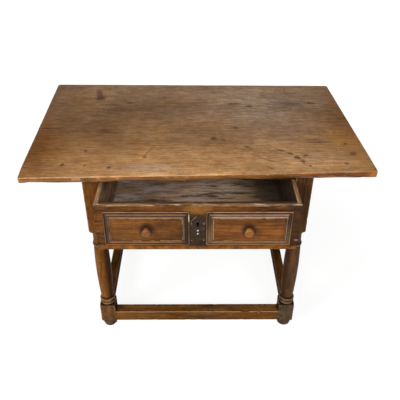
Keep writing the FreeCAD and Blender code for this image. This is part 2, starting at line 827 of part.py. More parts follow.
def make_drawer_box(front):
    back = new_piece("drawer_back", DRAWER_HOME)
    back_y = (drawer_rear - s.drawer_back_thickness, drawer_rear)
    back_z = (drawer_side_low, drawer_top - s.drawer_back_drop)
    add_block(back, *box_between((-drawer_inner, drawer_inner), back_y, back_z))
    sides = {}
    side_nails = []
    for name, side in SIDES.items():
        board = new_piece(f"drawer_side_{name}", DRAWER_HOME)
        add_block(board, *box_between(mirrored(side, drawer_inner, drawer_half), (drawer_seat, drawer_rear),
                                      (drawer_side_low, drawer_top)))
        sides[side] = board
        for end, other in (("front", front), ("rear", back)):
            for nail in side_nail_boxes(side, end):
                cut_block(board, *nail)
                cut_block(other, *nail)
                side_nails.append(loose_block("side_nail", *nail))
    new_group("drawer_side_nails", DRAWER_HOME, side_nails)
    bottom_nails = []
    for name, span in bottom_boards():
        board = new_piece(f"drawer_bottom_{name}", DRAWER_HOME)
        add_block(board, *box_between((-drawer_half, drawer_half), span, (drawer_bottom, drawer_side_low)))
        for side in SIDES.values():
            for nail in bottom_nail_boxes(side, span):
                cut_block(board, *nail)
                cut_block(sides[side], *nail)
                bottom_nails.append(loose_block("bottom_nail", *nail))
    new_group("drawer_bottom_nails", DRAWER_HOME, bottom_nails)


def lock_spans():
    """The stretches that the lock's plate, selvedge and cap take up in the drawer front."""
    back = drawer_front_back
    half = s.lock_width / 2
    cap_half = half - s.lock_ledge
    low = drawer_top - s.lock_height
    selvedge_low = drawer_top - s.lock_selvedge_thickness
    plate_front = back - s.lock_plate_thickness
    return SimpleNamespace(
        plate=((-half, half), (plate_front, back), (low, drawer_top)),
        selvedge=((-half, half), (back - s.lock_depth, back), (selvedge_low, drawer_top)),
        cap=((-cap_half, cap_half), (back - s.lock_depth, plate_front), (low + s.lock_ledge, selvedge_low)))


def bolt_span():
    """The bolt's stretch from front to back, in the middle of the lock."""
    centre = drawer_front_back - (s.lock_depth + s.lock_plate_thickness) / 2
    return centre - s.bolt_thickness / 2, centre + s.bolt_thickness / 2


def cut_keyhole(body, start, length):
    cut_round(body, "y", (as_length(0), start, keyhole_z), length, s.keyhole_radius)
    half = s.keyhole_slot_width / 2
    slot_z = (keyhole_z - s.keyhole_slot_length, keyhole_z)
    cut_block(body, *box_between((-half, half), (start, start + length), slot_z))


def lock_nail_boxes():
    half = s.lock_nail_square / 2
    across = s.lock_width / 2 - s.lock_ledge / 2
    span_y = (drawer_front_back - s.lock_nail_length, drawer_front_back)
    for side in SIDES.values():
        for height in (drawer_top - s.lock_height + s.lock_ledge / 2, drawer_top - s.lock_depth):
            centre = as_length(side) * across
            yield box_between((centre - half, centre + half), span_y, (height - half, height + half))


def escutcheon_nail_places():
    low = drawer_top - s.escutcheon_drop - s.escutcheon_height
    shoulder = drawer_top - s.escutcheon_drop - s.escutcheon_point
    across = s.escutcheon_width / 2 - s.escutcheon_nail_inset
    for height in (low + s.escutcheon_nail_inset, shoulder - s.escutcheon_nail_inset):
        for side in SIDES.values():
            yield as_length(side) * across, height
    for step in range(2):
        yield as_length(0), keyhole_z - s.escutcheon_middle_nail_drop - s.escutcheon_middle_nail_step * step


def escutcheon_nail_box(x, z):
    half = s.escutcheon_nail_square / 2
    start = drawer_face - s.escutcheon_thickness
    return box_between((x - half, x + half), (start, start + s.escutcheon_nail_length), (z - half, z + half))


def make_escutcheon(front):
    body = new_piece("escutcheon_plate", DRAWER_HOME)
    half = s.escutcheon_width / 2
    tip = drawer_top - s.escutcheon_drop
    low = tip - s.escutcheon_height
    shoulder = tip - s.escutcheon_point
    shield = [(-half, low), (half, low), (half, shoulder), (as_length(0), tip), (-half, shoulder)]
    pad(body, draw(body, "XZ_Plane", shield, -drawer_face), s.escutcheon_thickness)
    cut_keyhole(body, drawer_face - s.escutcheon_thickness, s.escutcheon_thickness)
    nails = []
    for x, z in escutcheon_nail_places():
        shank = escutcheon_nail_box(x, z)
        cut_block(body, *shank)
        cut_block(front, *shank)
        head = doc.addObject("Part::Cone", "nail_head")
        head.Placement = FreeCAD.Placement(FreeCAD.Vector(), FreeCAD.Rotation(FreeCAD.Vector(1, 0, 0), 90))
        bind(head, "Radius1", s.escutcheon_nail_radius)
        bind(head, "Radius2", s.escutcheon_nail_radius / 2)
        bind(head, "Height", s.escutcheon_nail_rise)
        bind_place(head, (x, drawer_face - s.escutcheon_thickness, z))
        nail = doc.addObject("Part::Fuse", "escutcheon_nail")
        nail.Base = head
        nail.Tool = loose_block("nail_shank", *shank)
        nails.append(nail)
    new_group("escutcheon_nails", DRAWER_HOME, nails)


def make_lock(front):
    """A let-in drawer lock: plate with selvedge, cap over the works, bolt and leaf spring."""
    spans = lock_spans()
    spare = s.lock_clearance
    cap_x, cap_y, cap_z = spans.cap
    cut_block(front, *box_between(*spans.plate))
    cut_block(front, *box_between(*spans.selvedge))
    cut_block(front, *box_between((cap_x[0] - spare, cap_x[1] + spare), (cap_y[0] - spare, cap_y[1]),
                                  (cap_z[0] - spare, cap_z[1])))
    plate = new_piece("lock_plate", DRAWER_HOME)
    add_block(plate, *box_between(*spans.plate))
    add_block(plate, *box_between(*spans.selvedge))
    bolt_x, bolt_y = (-s.bolt_width / 2, s.bolt_width / 2), bolt_span()
    slot_x = (bolt_x[0] - spare, bolt_x[1] + spare)
    slot_y = (bolt_y[0] - spare, bolt_y[1] + spare)
    cut_block(plate, *box_between(slot_x, slot_y, spans.selvedge[2]))
    nails = []
    for nail in lock_nail_boxes():
        cut_block(plate, *nail)
        cut_block(front, *nail)
        nails.append(loose_block("lock_nail", *nail))
    new_group("lock_nails", DRAWER_HOME, nails)
    cap = new_piece("lock_cap", DRAWER_HOME)
    wall = s.lock_cap_wall
    add_block(cap, *box_between(*spans.cap))
    cut_block(cap, *box_between((cap_x[0] + wall, cap_x[1] - wall), (cap_y[0] + wall, cap_y[1]),
                                (cap_z[0] + wall, cap_z[1])))
    cut_keyhole(cap, cap_y[0], wall)
    bolt = new_piece("lock_bolt", DRAWER_HOME)
    bolt_z = (drawer_top - s.bolt_length, drawer_top)
    add_block(bolt, *box_between(bolt_x, bolt_y, bolt_z))
    cut_block(bolt, *box_between((-s.bolt_notch_width / 2, s.bolt_notch_width / 2), bolt_y,
                                 (bolt_z[0], bolt_z[0] + s.bolt_notch_height)))
    spring = new_piece("lock_spring", DRAWER_HOME)
    leaf_x = bolt_x[1] + spare
    leaf_y = (middle(*bolt_y) - s.spring_width / 2, middle(*bolt_y) + s.spring_width / 2)
    leaf_top = drawer_top - s.lock_selvedge_thickness - s.spring_drop
    add_block(spring, *box_between((leaf_x, leaf_x + s.spring_thickness), leaf_y,
                                   (leaf_top - s.spring_length, leaf_top)))
    add_block(spring, *box_between((leaf_x, cap_x[1] - wall), leaf_y,
                                   (leaf_top - s.spring_thickness, leaf_top)))


def moulding_profile():
    """Across the moulding from its outer edge: a rounded lip, a cove that rises to a step, and a bead."""
    bead_edge = s.moulding_height - s.moulding_bead_rise
    bead_start = s.moulding_width - s.moulding_bead_width
    cove_top = (bead_start, bead_edge - s.moulding_step)
    lip = (s.moulding_lip_width, s.moulding_lip)
    zero = as_length(0)
    return [
        (zero, zero),
        (s.moulding_width, zero),
        (s.moulding_width, bead_edge, (middle(bead_start, s.moulding_width), s.moulding_height)),
        (bead_start, bead_edge),
        (*cove_top, quarter(cove_top, lip)),
        (*lip, (s.moulding_lip_width / 2, s.moulding_lip + s.moulding_lip_rise)),
        (zero, s.moulding_lip),
    ]


def make_moulding(label, home, rotation, length):
    """One strip, drawn along X with its outer edge on the axis, mitred at both ends."""
    body = new_piece(label, home, rotation)
    pad(body, draw(body, "YZ_Plane", moulding_profile()), length)
    width = s.moulding_width
    beyond = s.moulding_height
    start_wedge = [(-beyond, -beyond), (width + beyond, width + beyond), (-beyond, width + beyond)]
    end_wedge = [(length - x, y) for x, y in start_wedge]
    for wedge in (start_wedge, end_wedge):
        pocket_both_ways(body, draw(body, "XY_Plane", wedge), s.moulding_height * THROUGH)


def make_panels(front):
    """On each half of the front, a raised field inside four mitred mouldings, with its knob."""
    panel_width = panel_outer - panel_inner
    panel_height = panel_high - panel_low
    out = FreeCAD.Vector(0, -1, 0)
    right, up = FreeCAD.Vector(1, 0, 0), FreeCAD.Vector(0, 0, 1)
    for name, side in SIDES.items():
        left_x, right_x = mirrored(side, panel_inner, panel_outer)
        strips = {
            "bottom": (left_x, panel_low, right, up, panel_width),
            "top": (right_x, panel_high, -right, -up, panel_width),
            "right_end": (right_x, panel_low, up, -right, panel_height),
            "left_end": (left_x, panel_high, -up, right, panel_height),
        }
        for strip, (x, z, along, inwards, length) in strips.items():
            home = shifted(DRAWER_HOME, (x, drawer_face, z))
            make_moulding(f"moulding_{name}_{strip}", home, FreeCAD.Rotation(along, inwards, out), length)
        field = new_piece(f"panel_field_{name}", DRAWER_HOME)
        field_face = drawer_face - s.field_thickness
        field_x = (left_x + field_inset, right_x - field_inset)
        field_z = (panel_low + field_inset, panel_high - field_inset)
        add_block(field, *box_between(field_x, (field_face, drawer_face), field_z))
        soften(field, "Chamfer", "Size", s.field_bevel, lambda edge: edge_on(edge, "y", field_face))
        knob_x = middle(left_x, right_x)
        hole_radius = s.knob_shank_radius + s.peg_clearance
        cut_round(field, "y", (knob_x, field_face, panel_middle_z), s.field_thickness, hole_radius)
        cut_round(front, "y", (knob_x, drawer_face, panel_middle_z), s.drawer_front_thickness, hole_radius)
        make_knob(name, shifted(DRAWER_HOME, (knob_x, field_face, panel_middle_z)))


def make_knob(name, home):
    """A turned knob: shank through the front, base, hollow neck and mushroom head."""
    body = new_piece(f"knob_{name}", home, FreeCAD.Rotation(FreeCAD.Vector(1, 0, 0), 90))
    zero = as_length(0)
    shank = s.drawer_front_thickness + s.field_thickness
    head_low = s.knob_length - s.knob_head_height
    base = (s.knob_base_radius, s.knob_base_height)
    neck = (s.knob_neck_radius, head_low)
    tip = (s.knob_tip_radius, s.knob_length)
    profile = [
        (zero, -shank),
        (s.knob_shank_radius, -shank),
        (s.knob_shank_radius, zero),
        (s.knob_base_radius, zero),
        (*base, quarter(neck, base)),
        (*neck, (s.knob_radius, middle(head_low, s.knob_length))),
        tip,
        (zero, s.knob_length),
    ]
    turn(body, "Revolution", draw(body, "XZ_Plane", profile))


def make_drawer():
    front = new_piece("drawer_front", DRAWER_HOME)
    width = (-drawer_half, drawer_half)
    height = (drawer_bottom, drawer_top)
    rebate = (drawer_seat, drawer_front_back)
    add_block(front, *box_between(width, (drawer_face, drawer_front_back), height))
    for side in SIDES.values():
        cut_block(front, *box_between(mirrored(side, drawer_inner, drawer_half), rebate, height))
    cut_block(front, *box_between(width, rebate, (drawer_bottom, drawer_side_low)))
    make_lock(front)
    cut_keyhole(front, drawer_face, s.drawer_front_thickness - s.lock_depth)
    make_panels(front)
    make_escutcheon(front)
    make_drawer_box(front)


def check_model():
    """Stop if anything failed to build or a cut removed nothing."""
    for thing in doc.Objects:
        if "Invalid" in thing.State or "Error" in thing.State:
            raise RuntimeError(f"{thing.Label} failed: {thing.State}")
        base = getattr(thing, "BaseFeature", None)
        if base is not None and thing.TypeId.split("::")[-1].startswith(("Subtractive", "Pocket", "Groove")):
            if not thing.Shape.Volume < base.Shape.Volume:
                raise RuntimeError(f"{thing.Label} cuts nothing")
    for label, piece in pieces.items():
        if piece.Shape.isNull() or not piece.Shape.isValid():
            raise RuntimeError(f"{label} has no valid shape")


make_frame()
make_drawer()
doc.recompute()
check_model()
os.makedirs("parts", exist_ok=True)
for label, piece in pieces.items():
    piece.Shape.exportStep(f"parts/{label}.step")
print(len(pieces), "pieces,", sum(len(piece.Shape.Solids) for piece in pieces.values()), "solids")
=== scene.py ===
"""Old tavern table: worn plank top, turned legs, box stretchers and a panelled drawer.

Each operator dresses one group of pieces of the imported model: it makes worn copies of the solids that
show, with rounded arrises, chips and hand-planed faces, and gives every piece a procedural finish.
"""

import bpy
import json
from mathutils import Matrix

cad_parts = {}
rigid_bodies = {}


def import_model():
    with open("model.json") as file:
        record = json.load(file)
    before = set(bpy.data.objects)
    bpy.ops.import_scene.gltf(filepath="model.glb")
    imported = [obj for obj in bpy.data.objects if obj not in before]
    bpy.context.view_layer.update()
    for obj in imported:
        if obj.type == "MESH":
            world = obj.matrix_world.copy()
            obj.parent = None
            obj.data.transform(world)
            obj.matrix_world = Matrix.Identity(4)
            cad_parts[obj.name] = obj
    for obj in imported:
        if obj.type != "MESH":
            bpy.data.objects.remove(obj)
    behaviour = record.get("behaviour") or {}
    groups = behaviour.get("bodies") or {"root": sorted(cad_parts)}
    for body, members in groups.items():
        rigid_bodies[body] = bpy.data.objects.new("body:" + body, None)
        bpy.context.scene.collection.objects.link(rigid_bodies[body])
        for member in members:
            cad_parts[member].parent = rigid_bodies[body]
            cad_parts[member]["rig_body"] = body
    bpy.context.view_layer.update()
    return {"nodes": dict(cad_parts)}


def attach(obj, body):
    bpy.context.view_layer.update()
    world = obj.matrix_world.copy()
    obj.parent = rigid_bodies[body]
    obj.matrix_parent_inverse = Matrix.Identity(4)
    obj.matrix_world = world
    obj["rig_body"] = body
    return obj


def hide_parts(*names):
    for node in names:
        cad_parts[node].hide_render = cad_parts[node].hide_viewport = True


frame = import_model()

import json
import math

import bmesh
import bpy
from bpy.props import FloatProperty, FloatVectorProperty, IntProperty, PointerProperty
from mathutils import Matrix, Vector, noise

bl_info = {
    "name": "Tavern table",
    "version": (1, 0, 0),
    "blender": (4, 5, 0),
    "location": "3D View > Sidebar > Tavern table",
    "description": "Dresses the packed tavern table with worn wood, iron and a studio stage",
    "category": "Object",
}

NODES = frame["nodes"]
SIDES = ("left", "right")
MOULDING_STRIPS = ("top", "bottom", "left_end", "right_end")


def box_of(*nodes):
    """The low and the high corner of the box round some solids."""
    corners = [Vector(corner) for node in nodes for corner in NODES[node].bound_box]
    return [Vector([pick(corner[axis] for corner in corners) for axis in range(3)]) for pick in (min, max)]


# Places in metres that the wear and the finishes refer to; only the top reaches past the X of its ends
TOP_ENDS = 0.56
TOP_FACE = box_of("top_board_rear")[1].z
TOP_JOINT = box_of("top_board_rear")[0].y
FRONT_LOW, FRONT_HIGH = box_of("drawer_front")
INNER_EDGE = FRONT_LOW.y + 0.0105
LOCK_X = (FRONT_LOW.x + FRONT_HIGH.x) / 2
PANEL_LOW, PANEL_HIGH = box_of(*(f"moulding_right_{strip}" for strip in MOULDING_STRIPS))
PANEL_MIDDLE = (PANEL_LOW + PANEL_HIGH) / 2
PANEL_HALF = (PANEL_HIGH - PANEL_LOW) / 2

# Heights of the grooves and the crests of the turning on the legs, and of the smooth stretches between them
LEG_GROOVES = (0.124, 0.139, 0.157, 0.4247, 0.4417, 0.498)
LEG_CRESTS = (0.1315, 0.1465, 0.4342)
LEG_SMOOTH = ((0.162, 0.420), (0.445, 0.495))


def colour_property(name, description, default):
    return FloatVectorProperty(name=name, description=description, subtype="COLOR", size=3, min=0, max=1,
                               default=default)


def length_property(name, description, default):
    return FloatProperty(name=name, description=description, subtype="DISTANCE", unit="LENGTH",
                         default=default)


def power_property(name, description, default):
    return FloatProperty(name=name, description=description, subtype="POWER", unit="POWER", default=default)


class TavernTableWood(bpy.types.PropertyGroup):
    """Colours of the woods and the iron."""
    top_honey: colour_property("Top honey", "Top along the front, polished by arms", (0.46, 0.245, 0.092))
    top_brown: colour_property("Top brown", "Top in the middle of the boards", (0.265, 0.140, 0.058))
    # Grey of the boards towards the back, partly painted sheen.
    top_grey_and_sheen: colour_property("Top grey", "Top towards the back, greyed by light", (0.265, 0.157, 0.083))
    top_edge: colour_property("Top edge", "Edge of the top, rubbed to orange", (0.28, 0.115, 0.030))
    top_mark: colour_property("Top mark", "Knots, checks and stains in the top", (0.050, 0.021, 0.010))
    frame_brown: colour_property("Frame brown", "Legs and stretchers", (0.165, 0.060, 0.008))
    # Frame dark also paints the shade in hollows and in the grooves of the turning.
    frame_dark: colour_property("Frame dark", "Dark grain of legs and stretchers", (0.030, 0.012, 0.002))
    frame_grey: colour_property("Frame grey", "Scuffed feet and right leg", (0.105, 0.070, 0.041))
    drawer_brown: colour_property("Drawer brown", "Face of the drawer front", (0.215, 0.078, 0.012))
    # Drawer dark also paints the shade in corners, round the knobs and in the quirks of the mouldings.
    drawer_dark: colour_property("Drawer dark", "Dark grain and grime of the drawer", (0.026, 0.012, 0.005))
    field_orange: colour_property("Field orange", "Raised fields of the panels", (0.215, 0.076, 0.013))
    moulding_brown: colour_property("Moulding brown", "Mouldings round the fields", (0.26, 0.108, 0.030))
    # This grey paints the sheen of light on the upward faces of the mouldings.
    sheen_grey: colour_property("Wax grey", "Old wax and dust that lie on the mouldings", (0.21, 0.125, 0.090))
    raw_edge: colour_property("Raw edge", "Bare wood where an arris is worn through", (0.40, 0.23, 0.11))
    # This colour paints the glints on the drawer's top edge and the highlights on the mouldings.
    highlight_colour: colour_property("Bright edge", "Glints along the drawer's top edge", (0.62, 0.46, 0.36))
    dusty_board: colour_property("Dusty board", "Inside of the drawer", (0.66, 0.45, 0.31))
    dusty_grey: colour_property("Dusty grey", "Dust at the left end of the drawer", (0.86, 0.75, 0.76))
    dusty_yellow: colour_property("Dusty yellow", "Bare streaks inside the drawer", (0.50, 0.31, 0.10))
    # Dusty dark also paints the shadow at the right end of the drawer's floor and the shade in its corners.
    dusty_dark: colour_property("Dusty dark", "Stains inside the drawer", (0.075, 0.044, 0.026))
    knob_orange: colour_property("Knob orange", "Knobs polished by hands", (0.31, 0.110, 0.013))
    iron_dark: colour_property("Iron dark", "Forged iron", (0.024, 0.016, 0.010))
    iron_rust: colour_property("Iron rust", "Rust bloom on the iron", (0.095, 0.047, 0.020))


class TavernTableWear(bpy.types.PropertyGroup):
    """How far use has worn the pieces down."""
    arris: length_property("Arris", "Rounding of the sharp edges of boards", 0.0016)
    fine_arris: length_property("Fine arris", "Rounding of the edges of small pieces", 0.0006)
    wander: length_property("Wander", "How uneven the planed faces are", 0.0007)
    chip: length_property("Chip", "Depth of the chips along the arrises", 0.0016)
    front_slope: length_property("Front slope", "How far the front edge of the top is rubbed down", 0.004)
    outline_wander: length_property("Outline wander", "How uneven the outline of the top is", 0.0010)
    edge_hollow: length_property("Edge hollow", "Hollows along the lower edge of the top", 0.004)
    board_cell: length_property("Board cell", "Size of the facets of large boards", 0.016)
    fine_cell: length_property("Fine cell", "Size of the facets of small pieces", 0.008)
    seed: IntProperty(name="Seed", description="Start of the random wear", default=7)


class TavernTableStage(bpy.types.PropertyGroup):
    """Camera, lamps and floor."""
    camera_place: FloatVectorProperty(
        name="Camera place", description="Where the camera stands", subtype="TRANSLATION", unit="LENGTH",
        size=3, default=(-0.0046, -1.7618, 1.7043))
    camera_turn: FloatVectorProperty(
        name="Camera turn", description="Pitch down, yaw and roll of the camera", subtype="EULER",
        unit="ROTATION", size=3, default=(0.61417, -0.01267, 0.00668))
    lens: FloatProperty(
        name="Lens", description="Focal length in millimetres", subtype="DISTANCE_CAMERA", default=47.0)
    left_power: power_property("Left lamp", "Large lamp at the front left", 94)
    right_power: power_property("Right lamp", "Large lamp at the front right", 66)
    top_power: power_property("Top lamp", "Large lamp over the table", 48)
    rear_power: power_property("Rear lamps", "Each of two large lamps behind the table", 18)
    fill: FloatProperty(name="Fill", description="Light from all round", default=0.13)
    floor_colour: colour_property("Floor", "Pale floor", (0.82, 0.82, 0.82))


def wood():
    return bpy.context.scene.tavern_table_wood


def wear():
    return bpy.context.scene.tavern_table_wear


def shaded(colour, share):
    return [share * value for value in colour]


class Wiring:
    """Adds nodes to one shader tree. Most methods give the socket that holds the result."""

    def __init__(self, tree):
        self.tree = tree

    def put(self, socket, value):
        """Join a socket to another one, or set its number."""
        if isinstance(value, bpy.types.NodeSocket):
            self.tree.links.new(value, socket)
        elif value is not None:
            socket.default_value = value

    def add(self, kind, **settings):
        node = self.tree.nodes.new(kind)
        for name, value in settings.items():
            setattr(node, name, value)
        return node

    def maths(self, operation, first, second=None, clamp=False):
        node = self.add("ShaderNodeMath", operation=operation, use_clamp=clamp)
        self.put(node.inputs[0], first)
        self.put(node.inputs[1], second)
        return node.outputs[0]

    def plus(self, first, second, clamp=False):
        return self.maths("ADD", first, second, clamp)

    def minus(self, first, second, clamp=False):
        return self.maths("SUBTRACT", first, second, clamp)

    def times(self, first, *others):
        for other in others:
            first = self.maths("MULTIPLY", first, other)
        return first

    def largest(self, first, *others):
        for other in others:
            first = self.maths("MAXIMUM", first, other)
        return first

    def apart(self, first, second):
        """How far apart two values are."""
        return self.maths("ABSOLUTE", self.minus(first, second))

    def ease(self, value, low, high, to_low=0.0, to_high=1.0, way="SMOOTHSTEP"):
        """A step from one value to another, smooth as a rule."""
        node = self.add("ShaderNodeMapRange", interpolation_type=way)
        for socket, number in zip(node.inputs, (value, low, high, to_low, to_high)):
            self.put(socket, number)
        return node.outputs[0]

    def blend(self, factor, first, second, mode="MIX"):
        node = self.add("ShaderNodeMix", data_type="RGBA", blend_type=mode)
        self.put(node.inputs[0], factor)
        for socket, value in ((node.inputs[6], first), (node.inputs[7], second)):
            self.put(socket, value if isinstance(value, bpy.types.NodeSocket) else (*value, 1))
        return node.outputs[2]

    def ramp(self, value, stops):
        """A colour that passes through stops, each a place from 0 to 1 and a colour."""
        node = self.add("ShaderNodeValToRGB")
        elements = node.color_ramp.elements
        elements[0].position, elements[1].position = stops[0][0], stops[-1][0]
        for place, _ in stops[1:-1]:
            elements.new(place)
        for element, (_, colour) in zip(elements, stops):
            element.color = (*colour, 1)
        self.put(node.inputs[0], value)
        return node.outputs[0]

    def vector_maths(self, operation, first, second=None):
        node = self.add("ShaderNodeVectorMath", operation=operation)
        self.put(node.inputs[0], first)
        self.put(node.inputs[1], second)
        return node.outputs["Value" if operation == "LENGTH" else "Vector"]

    def cloud(self, vector, scale, detail=4.0, roughness=0.55):
        """Noise at one scale, or at three along X, Y and Z."""
        if isinstance(scale, tuple):
            vector, scale = self.vector_maths("MULTIPLY", vector, scale), 1.0
        node = self.add("ShaderNodeTexNoise")
        settings = {"Vector": vector, "Scale": scale, "Detail": detail, "Roughness": roughness}
        for label, value in settings.items():
            self.put(node.inputs[label], value)
        return node.outputs["Fac"]

    def split(self, vector):
        node = self.add("ShaderNodeSeparateXYZ")
        self.put(node.inputs[0], vector)
        return node.outputs

    def combine(self, *parts):
        node = self.add("ShaderNodeCombineXYZ")
        for socket, part in zip(node.inputs, parts):
            self.put(socket, part)
        return node.outputs[0]

    def group(self, name, **inputs):
        """Place a node group and give all its outputs."""
        node = self.add("ShaderNodeGroup", node_tree=bpy.data.node_groups[name])
        for label, value in inputs.items():
            self.put(node.inputs[label.capitalize()], value)
        return node.outputs


# Node groups: the effects that more than one finish uses

def new_group(name, inputs, outputs):
    """An empty node group with named inputs and their defaults, a vector where that is None."""
    tree = bpy.data.node_groups.new(name, "ShaderNodeTree")
    for label, default in inputs.items():
        kind = "NodeSocketVector" if default is None else "NodeSocketFloat"
        socket = tree.interface.new_socket(name=label, in_out="INPUT", socket_type=kind)
        if default is not None:
            socket.default_value = default
    for label in outputs:
        tree.interface.new_socket(name=label, in_out="OUTPUT", socket_type="NodeSocketFloat")
    return Wiring(tree), tree.nodes.new("NodeGroupInput").outputs, tree.nodes.new("NodeGroupOutput").inputs


# For each kind of grain: its scales along and across, detail, roughness and the limits of the mask
GRAINS = {
    "Band": (1, 1, 4, 0.6, 0.36, 0.64),
    "Fibre": (3, 5, 5, 0.7, 0.37, 0.63),
    "Hair": (5, 15, 3, 0.6, 0.38, 0.62),
    "Pores": (12, 16, 2, 0.5, 0.58, 0.68),
}


def make_grain_group():
    """Long grain along the vector's X: broad bands, fibres, hairlines and open pores."""
    tree, given, result = new_group("Grain", {"Vector": None, "Along": 3.0, "Across": 40.0}, GRAINS)
    x, y, z = tree.split(given["Vector"])
    drift = tree.times(tree.cloud(given["Vector"], (2.5, 9, 9), 2), 0.012)
    y, z = tree.plus(y, drift), tree.plus(z, drift)
    for label, (along, across, detail, roughness, low, high) in GRAINS.items():
        long_scale, cross_scale = tree.times(given["Along"], along), tree.times(given["Across"], across)
        scales = (long_scale, cross_scale, cross_scale)
        place = tree.combine(*(tree.times(part, scale) for part, scale in zip((x, y, z), scales)))
        tree.put(result[label], tree.ease(tree.cloud(place, 1.0, detail, roughness), low, high))


# For each kind of unevenness: its scale, detail, roughness and the limits of the mask
UNEVEN = {
    "Patch": (7, 3, 0.6, 0.35, 0.65),
    "Mottle": (34, 5, 0.65, 0.36, 0.64),
    "Speckle": (230, 2, 0.6, 0.36, 0.64),
}


def make_age_group():
    """Wear on ridges, soiling and painted shade in hollows and corners, darkened by ambient occlusion, and
    uneven patches of three sizes.
    """
    inputs = {"Vector": None, "Ridge": 0.0, "Hollow": 0.0, "Reach": 0.012}
    tree, given, result = new_group("Age", inputs, ["Worn", "Grime", *UNEVEN])
    ragged = tree.times(tree.minus(tree.cloud(given["Vector"], 70, 3), 0.5), 1.1)
    tree.put(result["Worn"], tree.ease(tree.plus(given["Ridge"], ragged), 0.55, 0.95))
    # Ambient occlusion darkens corners and crevices: painted shade, mixed with soiling in the hollows.
    corner = tree.add("ShaderNodeAmbientOcclusion", samples=6)
    tree.put(corner.inputs["Distance"], given["Reach"])
    blotches = tree.times(tree.minus(tree.cloud(given["Vector"], 40, 3), 0.5), 0.5)
    occlusion_and_dirt = tree.plus(tree.largest(given["Hollow"], tree.minus(1.0, corner.outputs["AO"])), blotches)
    tree.put(result["Grime"], tree.ease(occlusion_and_dirt, 0.14, 0.55))
    for label, (scale, detail, roughness, low, high) in UNEVEN.items():
        tree.put(result[label], tree.ease(tree.cloud(given["Vector"], scale, detail, roughness), low, high))


def make_hole_group():
    """Scattered worm holes and small dents."""
    inputs = {"Vector": None, "Density": 20.0, "Share": 0.3, "Size": 0.1}
    tree, given, result = new_group("Worm holes", inputs, ["Mask"])
    cells = tree.add("ShaderNodeTexVoronoi")
    tree.put(cells.inputs["Vector"], given["Vector"])
    tree.put(cells.inputs["Scale"], given["Density"])
    chance = tree.add("ShaderNodeSeparateColor")
    tree.put(chance.inputs[0], cells.outputs["Color"])
    picked = tree.maths("LESS_THAN", chance.outputs[0], given["Share"])
    spot = tree.ease(cells.outputs["Distance"], given["Size"], tree.times(given["Size"], 0.4))
    tree.put(result["Mask"], tree.times(picked, spot))


def make_mark_group():
    """One soft-edged oval mark, such as a knot, stain, check or scratch."""
    inputs = {"Vector": None, "Centre": None, "Size": None, "Turn": 0.0, "Ragged": 0.5}
    tree, given, result = new_group("Mark", inputs, ["Mask", "Distance"])
    turned = tree.add("ShaderNodeVectorRotate", rotation_type="Z_AXIS")
    for label, name in (("Vector", "Vector"), ("Center", "Centre"), ("Angle", "Turn")):
        tree.put(turned.inputs[label], given[name])
    away = tree.vector_maths("SUBTRACT", turned.outputs[0], given["Centre"])
    length = tree.vector_maths("LENGTH", tree.vector_maths("DIVIDE", away, given["Size"]))
    wobble = tree.minus(tree.cloud(given["Vector"], (45, 160, 45), 3), 0.5)
    crumbs = tree.minus(tree.cloud(given["Vector"], (110, 420, 110), 3, 0.7), 0.5)
    distance = tree.plus(length, tree.times(wobble, given["Ragged"]))
    tree.put(result["Distance"], distance)
    tree.put(result["Mask"], tree.ease(tree.plus(distance, tree.times(crumbs, given["Ragged"])), 1.2, 0.5))


def make_stain_group():
    """Long dark stains in bare wood."""
    tree, given, result = new_group("Stain", {"Vector": None}, ["Mask"])
    tree.put(result["Mask"], tree.ease(tree.cloud(given["Vector"], (6, 18, 18), 4, 0.6), 0.54, 0.7))


def make_panel_group():
    """How far a place on the drawer front lies from the lock, outside its panel and from its knob."""
    tree, given, result = new_group("Panel", {"Vector": None}, ["From lock", "Outside", "From knob"])
    x, _, z = tree.split(given["Vector"])
    from_lock = tree.apart(x, LOCK_X)
    across, up = tree.apart(from_lock, PANEL_MIDDLE.x - LOCK_X), tree.apart(z, PANEL_MIDDLE.z)
    tree.put(result["From lock"], from_lock)
    tree.put(result["Outside"], tree.largest(tree.minus(across, PANEL_HALF.x), tree.minus(up, PANEL_HALF.z)))
    tree.put(result["From knob"], tree.vector_maths("LENGTH", tree.combine(across, up, 0.0)))


def make_facing_group():
    """How far a face looks up, and towards the middle of the table from the left or the right."""
    tree, given, result = new_group("Facing", {"Vector": None}, ["Up", "Inwards"])
    normal = tree.split(tree.add("ShaderNodeNewGeometry").outputs["Normal"])
    side = tree.maths("SIGN", tree.split(given["Vector"])[0])
    tree.put(result["Up"], normal[2])
    tree.put(result["Inwards"], tree.times(normal[0], side, -1.0))


def make_turning_group():
    """The grooves and the crests of the turned legs."""
    tree, given, result = new_group("Turning", {"Height": 0.0}, ["Grooves", "Crests"])
    for label, levels, reach in (("Grooves", LEG_GROOVES, 0.0045), ("Crests", LEG_CRESTS, 0.006)):
        masks = [tree.ease(tree.apart(given["Height"], level), reach, 0.3 * reach) for level in levels]
        tree.put(result[label], tree.largest(*masks))


def make_surface_group():
    """Roughness and relief that follow the grain."""
    inputs = {"Roughness": 0.4, "Fibre": 0.0, "Pores": 0.0, "Worn": 0.0}
    tree, given, result = new_group("Surface", inputs, ["Roughness", "Height"])
    spread = tree.plus(tree.times(given["Fibre"], 0.25), tree.times(given["Worn"], -0.08))
    tree.put(result["Roughness"], tree.plus(given["Roughness"], spread, clamp=True))
    tree.put(result["Height"], tree.minus(tree.times(given["Fibre"], 0.5), tree.times(given["Pores"], 0.6)))


def make_groups():
    for make in (make_grain_group, make_age_group, make_hole_group, make_mark_group, make_stain_group,
                 make_panel_group, make_facing_group, make_turning_group, make_surface_group):
        make()


GRAIN_ORDER = {"x": (0, 1, 2), "y": (1, 0, 2), "z": (2, 0, 1)}


